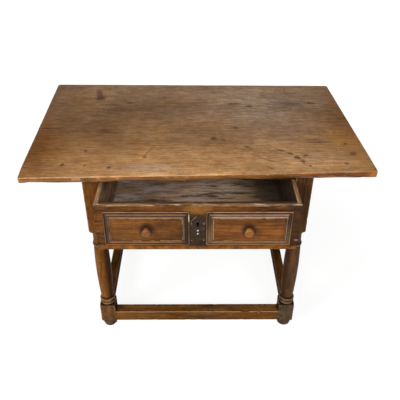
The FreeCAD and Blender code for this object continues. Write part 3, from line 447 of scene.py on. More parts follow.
class Finish(Wiring):
    """A material being built: its coordinates, the shared effects and its colour so far."""

    def __init__(self, name, axis, along, across, reach=0.012):
        self.material = bpy.data.materials.new(name)
        self.material.use_nodes = True
        super().__init__(self.material.node_tree)
        self.shader = self.tree.nodes["Principled BSDF"]
        self.place = self.add("ShaderNodeTexCoord").outputs["Object"]
        parts = self.split(self.place)
        self.x, self.y, self.z = parts
        self.along = self.combine(*(parts[index] for index in GRAIN_ORDER[axis]))
        grain = self.group("Grain", vector=self.along, along=along, across=across)
        self.band, self.fibre, self.hair, self.pores = (grain[label] for label in GRAINS)
        ridge, hollow = (self.add("ShaderNodeAttribute", attribute_name=name).outputs["Fac"]
                         for name in ("ridge", "hollow"))
        age = self.group("Age", vector=self.place, ridge=ridge, hollow=hollow, reach=reach)
        # The age group gives wear, and soiling with painted shade in hollows and corners.
        self.worn, self.dirt_and_shade = age["Worn"], age["Grime"]
        self.patch, self.mottle, self.speckle = (age[label] for label in UNEVEN)
        self.colour = None

    def start(self, light, dark, fibre_share=0.5):
        """Bands of two colours, varied by the fibres."""
        mix = self.plus(self.times(self.band, 1 - fibre_share), self.times(self.fibre, fibre_share))
        self.colour = self.blend(mix, light, dark)
        self.tint(self.hair, 0.5, (0.5, 0.46, 0.42))

    def over(self, mask, amount, colour, mode="MIX"):
        """Lay a colour over the wood where the mask is."""
        self.colour = self.blend(self.times(mask, amount), self.colour, colour, mode)

    def tint(self, mask, amount, colour):
        """Multiply the wood by a colour where the mask is."""
        self.over(mask, amount, colour, "MULTIPLY")

    def mark(self, centre, size, ragged, turn=0.0):
        return self.group("Mark", vector=self.place, centre=centre, size=size, ragged=ragged, turn=turn)

    def facing_up(self, low=0.3, high=0.9):
        return self.ease(self.group("Facing", vector=self.place)["Up"], low, high)

    def facing_in(self):
        return self.ease(self.group("Facing", vector=self.place)["Inwards"], 0.0, 0.85)

    def done(self, roughness, specular, depth, polish=0.5, metallic=0.0, dents=None):
        """Join the colour, roughness and relief to the shader."""
        self.tint(self.speckle, 0.5, (0.66, 0.64, 0.62))
        surface = self.group("Surface", roughness=roughness, fibre=self.fibre, pores=self.pores,
                             worn=self.worn)
        bump = self.add("ShaderNodeBump")
        bump.inputs["Strength"].default_value = 0.6
        bump.inputs["Distance"].default_value = depth
        self.put(bump.inputs["Height"],
                 surface["Height"] if dents is None else self.minus(surface["Height"], dents))
        for label, value in (("Base Color", self.colour), ("Roughness", surface["Roughness"]),
                             ("Specular IOR Level", specular), ("Metallic", metallic),
                             ("Coat Weight", self.times(self.worn, polish)), ("Coat Roughness", 0.22),
                             ("Normal", bump.outputs[0])):
            self.put(self.shader.inputs[label], value)
        return self.material


# Crisp marks on the top: place in metres, half length and half width, turn in degrees, strength
TOP_MARKS = (
    ((-0.413, 0.345), (0.014, 0.055), 12, 0.60),
    ((-0.402, 0.300), (0.022, 0.024), 0, 0.80),
    ((-0.452, 0.292), (0.026, 0.006), 0, 0.45),
    ((0.478, 0.253), (0.032, 0.008), -6, 0.95),
    ((0.155, 0.244), (0.030, 0.008), 0, 0.80),
    ((0.221, 0.220), (0.014, 0.012), 0, 0.70),
    ((-0.273, 0.250), (0.017, 0.010), 0, 0.80),
    ((-0.356, 0.233), (0.040, 0.006), 3, 0.60),
    ((-0.345, 0.184), (0.026, 0.006), 0, 0.60),
    ((0.533, 0.178), (0.036, 0.004), 0, 0.85),
    ((0.560, 0.108), (0.050, 0.004), 0, 0.75),
    ((-0.570, 0.0245), (0.060, 0.005), 0, 0.95),
    ((0.067, -0.057), (0.013, 0.012), 0, 0.80),
    ((0.104, -0.067), (0.010, 0.010), 30, 0.50),
    ((0.050, 0.074), (0.060, 0.005), 8, 0.55),
    ((0.150, 0.030), (0.016, 0.010), -35, 0.50),
    ((0.185, -0.120), (0.014, 0.009), -30, 0.75),
    ((0.197, -0.134), (0.009, 0.007), 0, 0.60),
    ((-0.165, -0.150), (0.045, 0.004), 65, 0.45),
    ((-0.178, -0.192), (0.008, 0.009), 0, 0.70),
    ((0.303, -0.144), (0.020, 0.007), -25, 0.75),
    ((0.333, -0.166), (0.015, 0.008), -35, 0.80),
    ((0.354, -0.195), (0.014, 0.011), -30, 0.85),
    ((0.385, -0.180), (0.012, 0.008), 35, 0.75),
    ((0.369, -0.219), (0.010, 0.014), 0, 0.75),
    ((0.240, -0.205), (0.060, 0.004), -35, 0.60),
    ((0.285, -0.225), (0.050, 0.004), -25, 0.50),
    ((0.250, -0.262), (0.020, 0.004), -40, 0.60),
    ((0.438, -0.062), (0.040, 0.005), 0, 0.50),
    ((0.455, -0.085), (0.044, 0.006), 0, 0.50),
    ((-0.453, -0.243), (0.008, 0.010), 0, 0.95),
    ((-0.390, -0.149), (0.007, 0.009), 0, 0.80),
    ((-0.293, -0.260), (0.008, 0.008), 0, 0.90),
    ((0.553, -0.167), (0.014, 0.014), 40, 0.65),
    ((0.543, -0.097), (0.007, 0.008), 0, 0.80),
    ((0.516, -0.233), (0.010, 0.010), 0, 0.75),
)

# Soft tints over the top: place and half size in metres, colour that the wood is multiplied by
TOP_TINTS = (
    ((-0.60, -0.14), (0.15, 0.22), (0.70, 0.54, 0.10)),
    ((-0.47, 0.25), (0.14, 0.16), (1.10, 1.04, 0.84)),
    ((-0.25, 0.22), (0.12, 0.07), (0.86, 0.79, 0.73)),
    ((0.60, 0.10), (0.14, 0.17), (0.80, 0.71, 0.42)),
    ((0.60, -0.10), (0.10, 0.22), (1.05, 0.98, 0.56)),
    ((0.45, 0.16), (0.10, 0.12), (0.90, 0.82, 0.70)),
    ((0.28, -0.06), (0.14, 0.12), (1.06, 1.12, 1.26)),
    ((0.05, 0.10), (0.14, 0.08), (1.10, 1.10, 1.13)),
    ((-0.35, 0.00), (0.09, 0.12), (0.76, 0.74, 0.70)),
    ((0.00, -0.24), (0.20, 0.08), (0.87, 0.86, 0.85)),
    ((0.20, 0.38), (0.14, 0.05), (1.10, 1.15, 1.18)),
    ((0.15, 0.22), (0.08, 0.05), (0.84, 0.81, 0.79)),
    ((0.45, -0.10), (0.07, 0.08), (1.15, 1.15, 1.15)),
    ((-0.26, -0.10), (0.22, 0.05), (0.93, 0.86, 0.76)),
    ((-0.10, 0.25), (0.12, 0.09), (0.98, 0.90, 0.75)),
    ((-0.58, 0.40), (0.10, 0.05), (0.82, 0.80, 0.88)),
    ((0.33, -0.24), (0.14, 0.05), (1.05, 1.10, 1.20)),
    ((0.35, 0.30), (0.07, 0.05), (0.82, 0.81, 0.81)),
)

# Rings of figure in the top: place and half size in metres, raggedness, reach in half sizes, strength
TOP_FIGURES = (
    ((-0.03, -0.003), (0.05, 0.028), 0.5, 4.0, 0.22),
    ((-0.405, 0.316), (0.016, 0.026), 0.8, 2.0, 0.75),
)

# Soft patches on the top: place in metres, half length and half width, strength, colour
TOP_PATCHES = (
    # The first two patches paint a grey sheen over the back of the top.
    ((0.29, 0.20), (0.30, 0.24), 0.60, (0.33, 0.235, 0.155)),
    ((0.12, 0.35), (0.22, 0.07), 0.35, (0.32, 0.22, 0.14)),
    ((-0.27, 0.11), (0.20, 0.13), 0.55, (0.135, 0.070, 0.026)),
    ((-0.50, 0.32), (0.10, 0.10), 0.35, (0.24, 0.115, 0.045)),
    ((-0.58, -0.08), (0.10, 0.24), 0.75, (0.155, 0.060, 0.010)),
    ((0.60, 0.18), (0.09, 0.20), 0.65, (0.130, 0.058, 0.016)),
    ((0.53, -0.07), (0.10, 0.12), 0.50, (0.34, 0.150, 0.030)),
    ((-0.15, -0.09), (0.12, 0.05), 0.30, (0.20, 0.100, 0.040)),
    # A pale grey strip near the front edge: dust with painted sheen.
    ((-0.16, -0.262), (0.15, 0.032), 0.40, (0.40, 0.30, 0.21)),
    ((0.40, -0.19), (0.14, 0.05), 0.30, (0.40, 0.26, 0.17)),
    ((0.36, -0.275), (0.36, 0.030), 0.45, (0.24, 0.125, 0.050)),
    ((0.375, 0.240), (0.075, 0.035), 0.55, (0.090, 0.055, 0.042)),
    ((0.330, 0.205), (0.050, 0.022), 0.35, (0.100, 0.062, 0.048)),
    ((-0.130, 0.225), (0.130, 0.060), 0.35, (0.120, 0.070, 0.040)),
    ((-0.340, 0.002), (0.040, 0.024), 0.60, (0.075, 0.038, 0.018)),
    ((-0.470, 0.100), (0.045, 0.022), 0.40, (0.110, 0.055, 0.022)),
    ((0.030, 0.000), (0.110, 0.060), 0.35, (0.120, 0.068, 0.036)),
    ((0.073, 0.360), (0.020, 0.020), 0.45, (0.090, 0.050, 0.030)),
    ((0.445, -0.073), (0.050, 0.026), 0.40, (0.120, 0.058, 0.028)),
)


def top_finish():
    """Waxed boards: honey along the front, brown in the middle and grey to the back, the grey partly painted
    sheen, with their marks, darker ends that are partly painted shade, and painted highlights along the
    front arris.
    """
    hues = wood()
    finish = Finish("top_wood", "x", along=3.0, across=16.0)
    drift = finish.times(finish.minus(finish.cloud(finish.place, (2, 7, 7), 4, 0.65), 0.5), 0.30)
    # Towards the back the wood turns grey, partly painted sheen.
    finish.colour = finish.ramp(finish.ease(finish.plus(finish.y, drift), -0.32, 0.44, way="LINEAR"), (
        (0.0, hues.top_honey), (0.16, shaded(hues.top_honey, 0.95)), (0.30, shaded(hues.top_honey, 0.66)),
        (0.45, hues.top_brown), (0.72, shaded(hues.top_grey_and_sheen, 0.88)), (1.0, shaded(hues.top_grey_and_sheen, 1.12))))
    to_left = finish.ease(finish.plus(finish.x, drift), -0.05, -0.55)
    to_front = finish.ease(finish.y, 0.40, 0.12, 0.4, 1.0)
    finish.tint(finish.times(to_left, to_front), 1.0, (0.64, 0.59, 0.50))
    for place, size, strength, colour in TOP_PATCHES:
        patch = finish.mark((*place, TOP_FACE), (*size, 1.0), 1.4)
        finish.over(finish.ease(patch["Distance"], 1.25, 0.1), strength, colour)
    for place, size, colour in TOP_TINTS:
        tint = finish.mark((*place, TOP_FACE), (*size, 1.0), 1.0)
        finish.tint(finish.ease(tint["Distance"], 1.25, 0.1), 1.0, colour)
    finish.tint(finish.mottle, 0.9, (0.84, 0.74, 0.58))
    finish.tint(finish.fibre, 0.35, (0.62, 0.58, 0.53))
    finish.tint(finish.hair, 0.70, (0.54, 0.50, 0.44))
    finish.tint(finish.band, 0.4, (0.70, 0.67, 0.66))
    finish.tint(finish.patch, 0.6, (0.66, 0.66, 0.74))
    finish.colour = finish.blend(1.0, finish.colour, (1.39, 1.49, 1.71), "MULTIPLY")
    # Darker left and right ends: partly soiling and partly painted shade.
    finish.over(finish.ease(finish.x, -0.565, -0.615), 0.6, shaded(hues.top_edge, 0.5))
    finish.over(finish.ease(finish.x, 0.50, 0.61), 0.5, shaded(hues.top_edge, 0.7))
    for place, size, ragged, reach, strength in TOP_FIGURES:
        rings = finish.mark((*place, TOP_FACE), (*size, 1.0), ragged)["Distance"]
        lines = finish.ease(finish.maths("SINE", finish.times(rings, 16.0)), 0.1, 1.0)
        finish.over(finish.times(finish.ease(rings, reach, 0.5), lines), strength, hues.top_mark)
    marks = []
    for place, size, turn, strength in TOP_MARKS:
        mark = finish.mark((*place, TOP_FACE), (*size, 0.02), 1.5, math.radians(-turn))
        marks.append(finish.times(mark["Mask"], strength))
    along_grain = finish.vector_maths("MULTIPLY", finish.place, (0.2, 1, 1))
    dashes = finish.group("Worm holes", vector=along_grain, density=34.0, share=0.3, size=0.1)["Mask"]
    holes = finish.group("Worm holes", vector=finish.place, density=17.0, share=0.16, size=0.045)["Mask"]
    dark = finish.largest(*marks, finish.times(dashes, 0.55), holes)
    finish.over(dark, 0.95, hues.top_mark)
    finish.over(finish.pores, 0.42, hues.top_mark)
    edge = finish.blend(finish.fibre, hues.top_edge, shaded(hues.top_edge, 0.4))
    edge = finish.blend(finish.ease(finish.x, 0.1, 0.5), edge, (0.80, 0.52, 0.30), "MULTIPLY")
    edge = finish.blend(finish.ease(finish.x, -0.2, -0.45), edge, (0.78, 0.74, 0.60), "MULTIPLY")
    # Painted highlight: the rounded front corners glow orange.
    corner_highlight = finish.ease(finish.maths("ABSOLUTE", finish.x), 0.562, 0.600)
    edge = finish.blend(finish.times(corner_highlight, 0.6), edge, (0.46, 0.165, 0.018))
    finish.over(finish.minus(1.0, finish.facing_up()), 0.92, edge)
    # Painted highlights: glints and sparkle along the worn upper arris of the front edge.
    upper_arris = finish.times(finish.worn, finish.ease(finish.z, TOP_FACE - 0.0165, TOP_FACE - 0.0115))
    glints = finish.ease(finish.cloud(finish.place, 16, 4, 0.7), 0.36, 0.62, 0.25, 1.0)
    finish.over(finish.times(upper_arris, glints), 0.5, shaded(hues.top_honey, 1.3))
    sparkle = finish.ease(finish.cloud(finish.place, 55, 3), 0.48, 0.60)
    to_right = finish.ease(finish.x, 0.0, 0.3)
    finish.over(finish.times(upper_arris, sparkle, to_right), 0.8, (0.95, 0.72, 0.40))
    return finish.done(0.42, 0.22, 0.0005, polish=1.0, dents=finish.times(dark, 1.5))


def frame_finish(name, axis, grey=0.1, light=1.0, bare=0.6, inner_shade=0.0, contrast=1.0, scuff=0.4,
                 turned=False):
    """Waxed legs, stretchers and rails, with soiling and painted shade in the hollows and grooves, painted
    highlights on the crests of the turning, painted shade on the sides of the legs that face the middle, and
    scuffed grey low down.
    """
    hues = wood()
    finish = Finish(name, axis, along=4.0, across=26.0, reach=0.016)
    soft = shaded(hues.frame_brown, 0.6 * light)
    dark = [flat + contrast * (deep - flat) for flat, deep in zip(soft, hues.frame_dark)]
    finish.start(shaded(hues.frame_brown, light), dark)
    low = finish.ease(finish.z, 0.16, 0.10 if turned else 0.02)
    scuffed = finish.plus(finish.times(low, scuff), grey, clamp=True)
    grey_grain = finish.blend(finish.fibre, shaded(hues.frame_grey, 1.15), shaded(hues.frame_grey, 0.5))
    finish.over(scuffed, finish.ease(finish.patch, -0.6, 1), grey_grain)
    finish.tint(finish.mottle, 0.45, (0.6, 0.55, 0.5))
    finish.over(finish.pores, 0.25, hues.frame_dark)
    if turned:
        # Painted shade: faces of the legs that look towards the middle of the table are darker.
        finish.tint(finish.facing_in(), inner_shade, (0.26, 0.23, 0.20))
        finish.tint(finish.ease(finish.z, 0.48, 0.56), 1.0, (0.80, 0.78, 0.70))
    # Soiling with painted shade in corners and hollows.
    finish.over(finish.dirt_and_shade, 0.8, shaded(hues.frame_dark, 0.5))
    if turned:
        # Painted highlights on the crests of the turning, in the colour of bare wood, and painted shade in
        # its grooves.
        turning = finish.group("Turning", height=finish.z)
        finish.over(finish.times(turning["Crests"], finish.mottle), 0.5, shaded(hues.raw_edge, 0.8))
        finish.over(turning["Grooves"], 0.85, shaded(hues.frame_dark, 0.5))
    finish.over(finish.worn, 0.7, shaded(hues.raw_edge, bare))
    return finish.done(0.2 if turned else 0.42, 0.06 if turned else 0.02, 0.0003, polish=0.3)


def drawer_front_finish():
    """Darker towards the right end and round the lock, rubbed orange along the bottom."""
    hues = wood()
    finish = Finish("drawer_front_wood", "x", along=3.5, across=24.0, reach=0.014)
    panel = finish.group("Panel", vector=finish.place)
    finish.start(shaded(hues.drawer_brown, 1.15), shaded(hues.drawer_brown, 0.16))
    finish.over(finish.ease(finish.x, FRONT_HIGH.x - 0.071, FRONT_HIGH.x - 0.016), 0.75, hues.drawer_dark)
    below_tip = finish.ease(finish.z, FRONT_HIGH.z - 0.018, FRONT_HIGH.z - 0.040)
    beside_lock = finish.times(finish.ease(panel["From lock"], 0.04, 0.022), below_tip)
    finish.over(beside_lock, 0.75, hues.drawer_dark)
    above_tip = finish.minus(finish.ease(panel["From lock"], 0.06, 0.02), below_tip, clamp=True)
    finish.over(above_tip, 0.6, (0.30, 0.135, 0.025))
    finish.tint(finish.mottle, 0.6, (0.45, 0.4, 0.36))
    finish.over(finish.pores, 0.25, hues.drawer_dark)
    # A dark line just outside the panels, and soiling in corners, both partly painted shade.
    finish.over(finish.ease(panel["Outside"], 0.004, 0.0), 0.6, hues.drawer_dark)
    finish.over(finish.dirt_and_shade, 0.8, hues.drawer_dark)
    along_bottom = finish.ease(finish.z, FRONT_LOW.z + 0.020, FRONT_LOW.z + 0.008)
    rubbed = finish.blend(finish.mottle, shaded(hues.drawer_brown, 1.8), shaded(hues.drawer_brown, 0.6))
    finish.over(along_bottom, 0.5, rubbed)
    bare = finish.blend(finish.fibre, shaded(hues.raw_edge, 0.55), shaded(hues.raw_edge, 0.08))
    # Painted highlights: glints along the top edge of the front.
    glints = finish.ease(finish.cloud(finish.place, (26, 260, 1), 3), 0.55, 0.66)
    bare = finish.blend(glints, bare, hues.highlight_colour)
    at_inner_edge = finish.ease(finish.y, INNER_EDGE, INNER_EDGE + 0.008)
    bare = finish.blend(at_inner_edge, bare, shaded(hues.drawer_dark, 2.0))
    on_top = finish.ease(finish.z, FRONT_HIGH.z - 0.015, FRONT_HIGH.z - 0.005)
    finish.over(finish.times(finish.facing_up(), on_top), 0.85, bare)
    finish.over(finish.worn, 0.5, shaded(hues.raw_edge, 0.9))
    torn = finish.mark((FRONT_HIGH.x - 0.0033, -0.41, FRONT_LOW.z + 0.04), (0.011, 0.03, 0.003), 1.6)
    finish.over(torn["Mask"], 0.7, hues.raw_edge)
    return finish.done(0.4, 0.1, 0.0005)


def field_finish():
    """Orange fields, with soiling and a painted shadow round the knobs, dark along the edges, and a dim
    patch on the left one.
    """
    hues = wood()
    finish = Finish("panel_wood", "x", along=3.0, across=22.0, reach=0.012)
    panel = finish.group("Panel", vector=finish.place)
    finish.start(shaded(hues.field_orange, 1.3), shaded(hues.field_orange, 0.55))
    finish.tint(finish.mottle, 0.6, (0.62, 0.56, 0.5))
    finish.over(finish.pores, 0.22, hues.drawer_dark)
    # Painted shadow of each knob on its field, mixed with soiling.
    knob_shadow = finish.ease(panel["From knob"], 0.032, 0.016)
    finish.over(finish.times(knob_shadow, finish.ease(finish.mottle, -0.8, 0.6)), 0.8, hues.drawer_dark)
    near_edge = finish.ease(panel["Outside"], -0.036, -0.022)
    finish.over(finish.times(near_edge, finish.patch), 0.5, hues.drawer_dark)
    finish.tint(finish.ease(finish.x, 0.0, -0.02), 0.5, (0.80, 0.92, 0.84))
    dim = finish.mark((-0.085, -0.42, 0.635), (0.075, 0.5, 0.07), 1.2)
    finish.tint(finish.ease(dim["Distance"], 1.25, 0.2), 0.7, (0.52, 0.46, 0.44))
    # Soiling with painted shade in corners.
    finish.over(finish.dirt_and_shade, 0.75, hues.drawer_dark)
    finish.over(finish.worn, 0.7, shaded(hues.raw_edge, 0.9))
    return finish.done(0.38, 0.12, 0.0004)


def moulding_finish(axis):
    """Brown strips with painted shade in the quirks, painted sheen on their upward faces, and pale ridges,
    worn bare on the bottom strips and painted highlights elsewhere, brightest on top of the right panel.
    """
    hues = wood()
    finish = Finish(f"moulding_wood_{axis}", axis, along=5.0, across=40.0, reach=0.008)
    panel = finish.group("Panel", vector=finish.place)
    outside = panel["Outside"]
    upright = axis == "z"
    light = 0.5 if upright else 1.0
    finish.start(shaded(hues.moulding_brown, light), shaded(hues.moulding_brown, 0.5 * light))
    finish.tint(finish.mottle, 0.4, (0.55, 0.5, 0.46))
    finish.over(finish.ease(panel["From lock"], 0.055, 0.045), 0.6, shaded(hues.drawer_dark, 1.5))
    # Painted sheen: upward faces of the upper strips turn grey as if reflecting light.
    painted_sheen = finish.times(finish.facing_up(0.15, 0.5), finish.ease(finish.z, 0.58, 0.66))
    finish.over(painted_sheen, 0.5, hues.sheen_grey)
    # Painted shade in the quirk and at the step of the profile.
    quirk = finish.times(finish.ease(outside, -0.0035, -0.0055), finish.ease(outside, -0.0095, -0.0065))
    step = finish.times(finish.ease(outside, -0.0125, -0.0145), finish.ease(outside, -0.0165, -0.0155))
    finish.over(finish.largest(quirk, step), 0.85, shaded(hues.drawer_dark, 0.6))
    bead, lip = finish.ease(outside, -0.0160, -0.0170), finish.ease(outside, -0.0035, -0.0015)
    above, to_right = finish.ease(finish.z, 0.60, 0.68), finish.ease(finish.x, 0.0, 0.03)
    # Ridges of the bead and the lip: painted highlights, except on the bottom strips, where they are worn
    # bare wood.
    ridge_highlight = shaded(hues.highlight_colour, 0.6)
    ridges = finish.times(finish.largest(bead, lip), finish.ease(finish.mottle, -0.3, 1.0))
    finish.over(ridges, 0.35, ridge_highlight if upright else finish.blend(above, hues.raw_edge, ridge_highlight))
    finish.over(finish.minus(to_right, above, clamp=True), 0.3, shaded(hues.raw_edge, 0.8))
    # Painted gloss on the upward faces at the top right, and a painted highlight on its bead.
    high_right = finish.times(to_right, finish.facing_up(0.1, 0.6), above)
    pale = finish.times(high_right, finish.ease(finish.mottle, -0.5, 0.8))
    finish.over(pale, 0.2, shaded(hues.highlight_colour, 0.75))
    finish.over(finish.times(high_right, bead), 0.9, shaded(hues.highlight_colour, 1.3))
    # Soiling with painted shade in corners.
    finish.over(finish.dirt_and_shade, 0.9, shaded(hues.drawer_dark, 0.5))
    finish.over(finish.times(finish.worn, finish.ease(outside, -0.004, -0.010)), 0.3, hues.raw_edge)
    if upright:
        # Painted highlight: a glint on the lip beside the lock plate.
        glint = finish.mark((LOCK_X - 0.0285, -0.42, 0.684), (0.003, 0.05, 0.017), 0.3)
        finish.over(glint["Mask"], 0.8, (0.74, 0.64, 0.50))
    return finish.done(0.32, 0.12, 0.0003, polish=0.4)


def stain_bare_wood(finish):
    """Stains, soiling and painted shade in corners, and pores of bare boards that were never given wax."""
    hues = wood()
    finish.over(finish.group("Stain", vector=finish.along)["Mask"], 0.7, shaded(hues.dusty_dark, 0.6))
    # Soiling with painted shade in corners.
    finish.over(finish.dirt_and_shade, 0.6, shaded(hues.dusty_dark, 0.4))
    finish.over(finish.pores, 0.25, hues.dusty_dark)


def runner_finish():
    """Pale bare wood of the pieces that carry the drawer."""
    hues = wood()
    finish = Finish("inner_wood", "y", along=3.0, across=16.0, reach=0.02)
    finish.start(hues.dusty_board, shaded(hues.dusty_board, 0.4), 0.4)
    stain_bare_wood(finish)
    return finish.done(0.62, 0.15, 0.0006)


def drawer_box_finish(name, axis):
    """Bare boards round the drawer, with painted light on the left one's inside and painted shade on the
    right one's inside, and raw worn top edges.
    """
    hues = wood()
    finish = Finish(name, axis, along=3.0, across=16.0, reach=0.02)
    # Painted light and shade: the left board is paler on its inside and the right board darker on its inside
    # than on their outsides.
    inside, lit = finish.facing_in(), finish.ease(finish.x, 0.2, -0.2)
    light, dark = (
        finish.blend(inside, shaded(hues.dusty_dark, outer),
                     finish.blend(lit, shaded(hues.dusty_dark, right), shaded(hues.dusty_dark, left)))
        for outer, right, left in ((3.0, 0.5, 7.5), (1.2, 0.4, 1.8)))
    finish.start(light, dark)
    stain_bare_wood(finish)
    on_top = finish.ease(finish.z, FRONT_HIGH.z - 0.030, FRONT_HIGH.z - 0.015)
    bare = finish.blend(finish.fibre, shaded(hues.raw_edge, 0.85), shaded(hues.raw_edge, 0.3))
    finish.over(finish.times(finish.facing_up(), on_top), 0.9, bare)
    return finish.done(0.62, 0.15, 0.0006)


def drawer_floor_finish():
    """Dusty bottom boards, painted paler than their own colour to stand for light: grey to the left,
    streaked with yellow and brown, and darkened by a painted shadow at the right end.
    """
    hues = wood()
    finish = Finish("drawer_floor_wood", "x", along=3.0, across=16.0, reach=0.02)
    # The boards start paler than their own colour: painted light on the inside of the drawer.
    finish.start(shaded(hues.dusty_board, 1.4), shaded(hues.dusty_board, 0.6))
    streak = finish.cloud(finish.place, (5, 22, 1), 4, 0.6)
    finish.over(finish.ease(streak, 0.48, 0.60), 0.75, hues.dusty_yellow)
    dust = finish.cloud(finish.place, (9, 26, 1), 4, 0.65)
    to_left = finish.ease(finish.x, 0.0, -0.24, 0.35, 1.0)
    finish.over(finish.times(finish.ease(dust, 0.45, 0.58), to_left), 0.85, hues.dusty_grey)
    stain = finish.cloud(finish.place, (5, 30, 1), 6, 0.75)
    finish.over(finish.ease(stain, 0.52, 0.64), 0.9, shaded(hues.dusty_dark, 0.7))
    # Painted shadow over the right end of the floor.
    ragged = finish.times(finish.minus(dust, 0.5), 0.25)
    finish.over(finish.ease(finish.plus(finish.x, ragged), 0.13, 0.27), 0.88, shaded(hues.dusty_dark, 0.5))
    # Soiling with painted shade in corners.
    finish.over(finish.dirt_and_shade, 0.7, shaded(hues.dusty_dark, 0.4))
    finish.over(finish.pores, 0.25, hues.dusty_dark)
    # Faces that do not look up keep the darker brown of the boards.
    underside = finish.blend(finish.fibre, shaded(hues.dusty_dark, 3.0), shaded(hues.dusty_dark, 1.2))
    finish.over(finish.minus(1.0, finish.facing_up()), 0.9, underside)
    return finish.done(0.6, 0.12, 0.0006)


def knob_finish():
    """Polished orange, with painted shade on the left knob."""
    hues = wood()
    finish = Finish("knob_wood", "y", along=12.0, across=120.0, reach=0.01)
    finish.start(shaded(hues.knob_orange, 1.2), shaded(hues.knob_orange, 0.45))
    # Painted shade darkens the left knob; then soiling with painted shade in corners.
    finish.tint(finish.ease(finish.x, 0.1, -0.1), 0.6, (0.5, 0.46, 0.44))
    finish.over(finish.dirt_and_shade, 0.8, hues.drawer_dark)
    return finish.done(0.22, 0.3, 0.0002, polish=0.2)


def peg_finish(name, colour):
    """End grain of pegs in the colour of the wood round them."""
    finish = Finish(name, "z", along=30.0, across=160.0, reach=0.004)
    finish.start(shaded(colour, 1.1), shaded(colour, 0.6))
    # Soiling with painted shade round the pegs.
    finish.over(finish.dirt_and_shade, 0.8, wood().top_mark)
    return finish.done(0.5, 0.1, 0.0003)


def iron_finish(name, rusty=0.0, nails=False):
    """Forged iron with rust bloom, and painted glints on the worn ridges of the plate's upper left edge and
    of its middle nails.
    """
    hues = wood()
    finish = Finish(name, "x", along=60.0, across=60.0, reach=0.006)
    finish.start(hues.iron_dark, shaded(hues.iron_dark, 1.7))
    rust = finish.ease(finish.cloud(finish.place, 130, 4, 0.65), 0.45 - 0.3 * rusty, 0.7 - 0.2 * rusty)
    finish.over(rust, 0.7, shaded(hues.iron_rust, 1 + rusty))
    # Soiling with painted shade in corners.
    finish.over(finish.dirt_and_shade, 0.6, hues.drawer_dark)
    # Painted glints on the worn ridges of the plate's upper left edge and of the middle nails.
    if nails:
        painted_glint = finish.ease(finish.group("Panel", vector=finish.place)["From lock"], 0.014, 0.006, 0.2, 1.0)
    else:
        painted_glint = finish.times(finish.ease(finish.x, 0.012, -0.008, 0.25, 1.0),
                              finish.ease(finish.z, 0.615, 0.645, 0.25, 1.0))
    finish.over(finish.times(finish.ease(finish.worn, 0.0, 0.6), painted_glint), 1.0, (0.85, 0.79, 0.70))
    return finish.done(0.45, 0.12, 0.0006, polish=0.2, metallic=0.2)


# Worn copies of the solids

def smooth_step(value, low, high):
    share = min(1.0, max(0.0, (value - low) / (high - low)))
    return share * share * (3 - 2 * share)


def nowhere(place):
    return False


def at_top_joint(place):
    return abs(place.y - TOP_JOINT) < 0.005


def on_smooth_leg(place):
    return any(low < place.z < high for low, high in LEG_SMOOTH)


def round_arrises(bm, radius, tight):
    """Round the long sharp edges and those at the top's ends, and leave tight joints as they are."""
    edges = [edge for edge in bm.edges if edge.is_manifold and edge.calc_face_angle(0) > math.radians(40)
             and (edge.calc_length() > 0.02 or all(abs(vert.co.x) > TOP_ENDS for vert in edge.verts))
             and not all(tight(vert.co) for vert in edge.verts)]
    if edges:
        bmesh.ops.bevel(bm, geom=edges, offset=radius, segments=3, profile=0.5, affect="EDGES",
                        clamp_overlap=True)


def cut_across(bm, cell):
    """Cut the faces by planes about a cell apart, so that they can follow the wear."""
    for axis in range(3):
        places = [vert.co[axis] for vert in bm.verts]
        low, high = min(places), max(places)
        count = int((high - low) / cell)
        normal = Vector([float(axis == other) for other in range(3)])
        for step in range(1, count):
            middle = normal * (low + (high - low) * step / count)
            bmesh.ops.bisect_plane(bm, geom=bm.verts[:] + bm.edges[:] + bm.faces[:], dist=1e-6,
                                   plane_co=middle, plane_no=normal)


def bends_of(vert):
    """The sharpest bulge and the sharpest hollow at a vertex, each as one over a radius."""
    bends = [0.0]
    for edge in vert.link_edges:
        way = vert.co - edge.other_vert(vert).co
        lean = way.dot(vert.normal) / max(way.length, 1e-9)
        if way.length > 0.0003 and abs(lean) > 0.07:
            bends.append(2 * lean / way.length)
    return max(bends), -min(bends)


def wear_down(bm, wander, chip, seed, tight):
    """Move each vertex inwards: long waves, small unevenness, and chips on the ridges."""
    start = Vector((seed * 3.1, seed * 1.7, seed * 0.9))
    bm.normal_update()
    moves = []
    for vert in bm.verts:
        wave = 0.5 + 0.5 * noise.noise(vert.co * 6 + start)
        ripple = 0.5 + 0.5 * noise.noise(vert.co * 38 + start)
        depth = wander * (0.65 * wave + 0.35 * ripple)
        if chip > 0 and bends_of(vert)[0] > 100 and not tight(vert.co):
            depth += chip * smooth_step(noise.noise(vert.co * 55 + start), 0.25, 0.65)
        moves.append(vert.normal * -depth)
    for vert, move in zip(bm.verts, moves):
        vert.co += move


def keep_inside(bm, low, high):
    """Bring back each vertex that has left the box of its solid."""
    for vert in bm.verts:
        vert.co = [min(max(place, least), most) for place, least, most in zip(vert.co, low, high)]


def store_bends(bm, radius, tight):
    """Keep the bulges and hollows as layers for the finishes, full where they are as tight as the radius."""
    bm.normal_update()
    ridge = bm.verts.layers.float.new("ridge")
    hollow = bm.verts.layers.float.new("hollow")
    for vert in bm.verts:
        rim = any(edge.calc_face_angle(0) > math.radians(65) for edge in vert.link_edges)
        if not rim and not tight(vert.co):
            vert[ridge], vert[hollow] = (min(1.0, bend * radius) for bend in bends_of(vert))


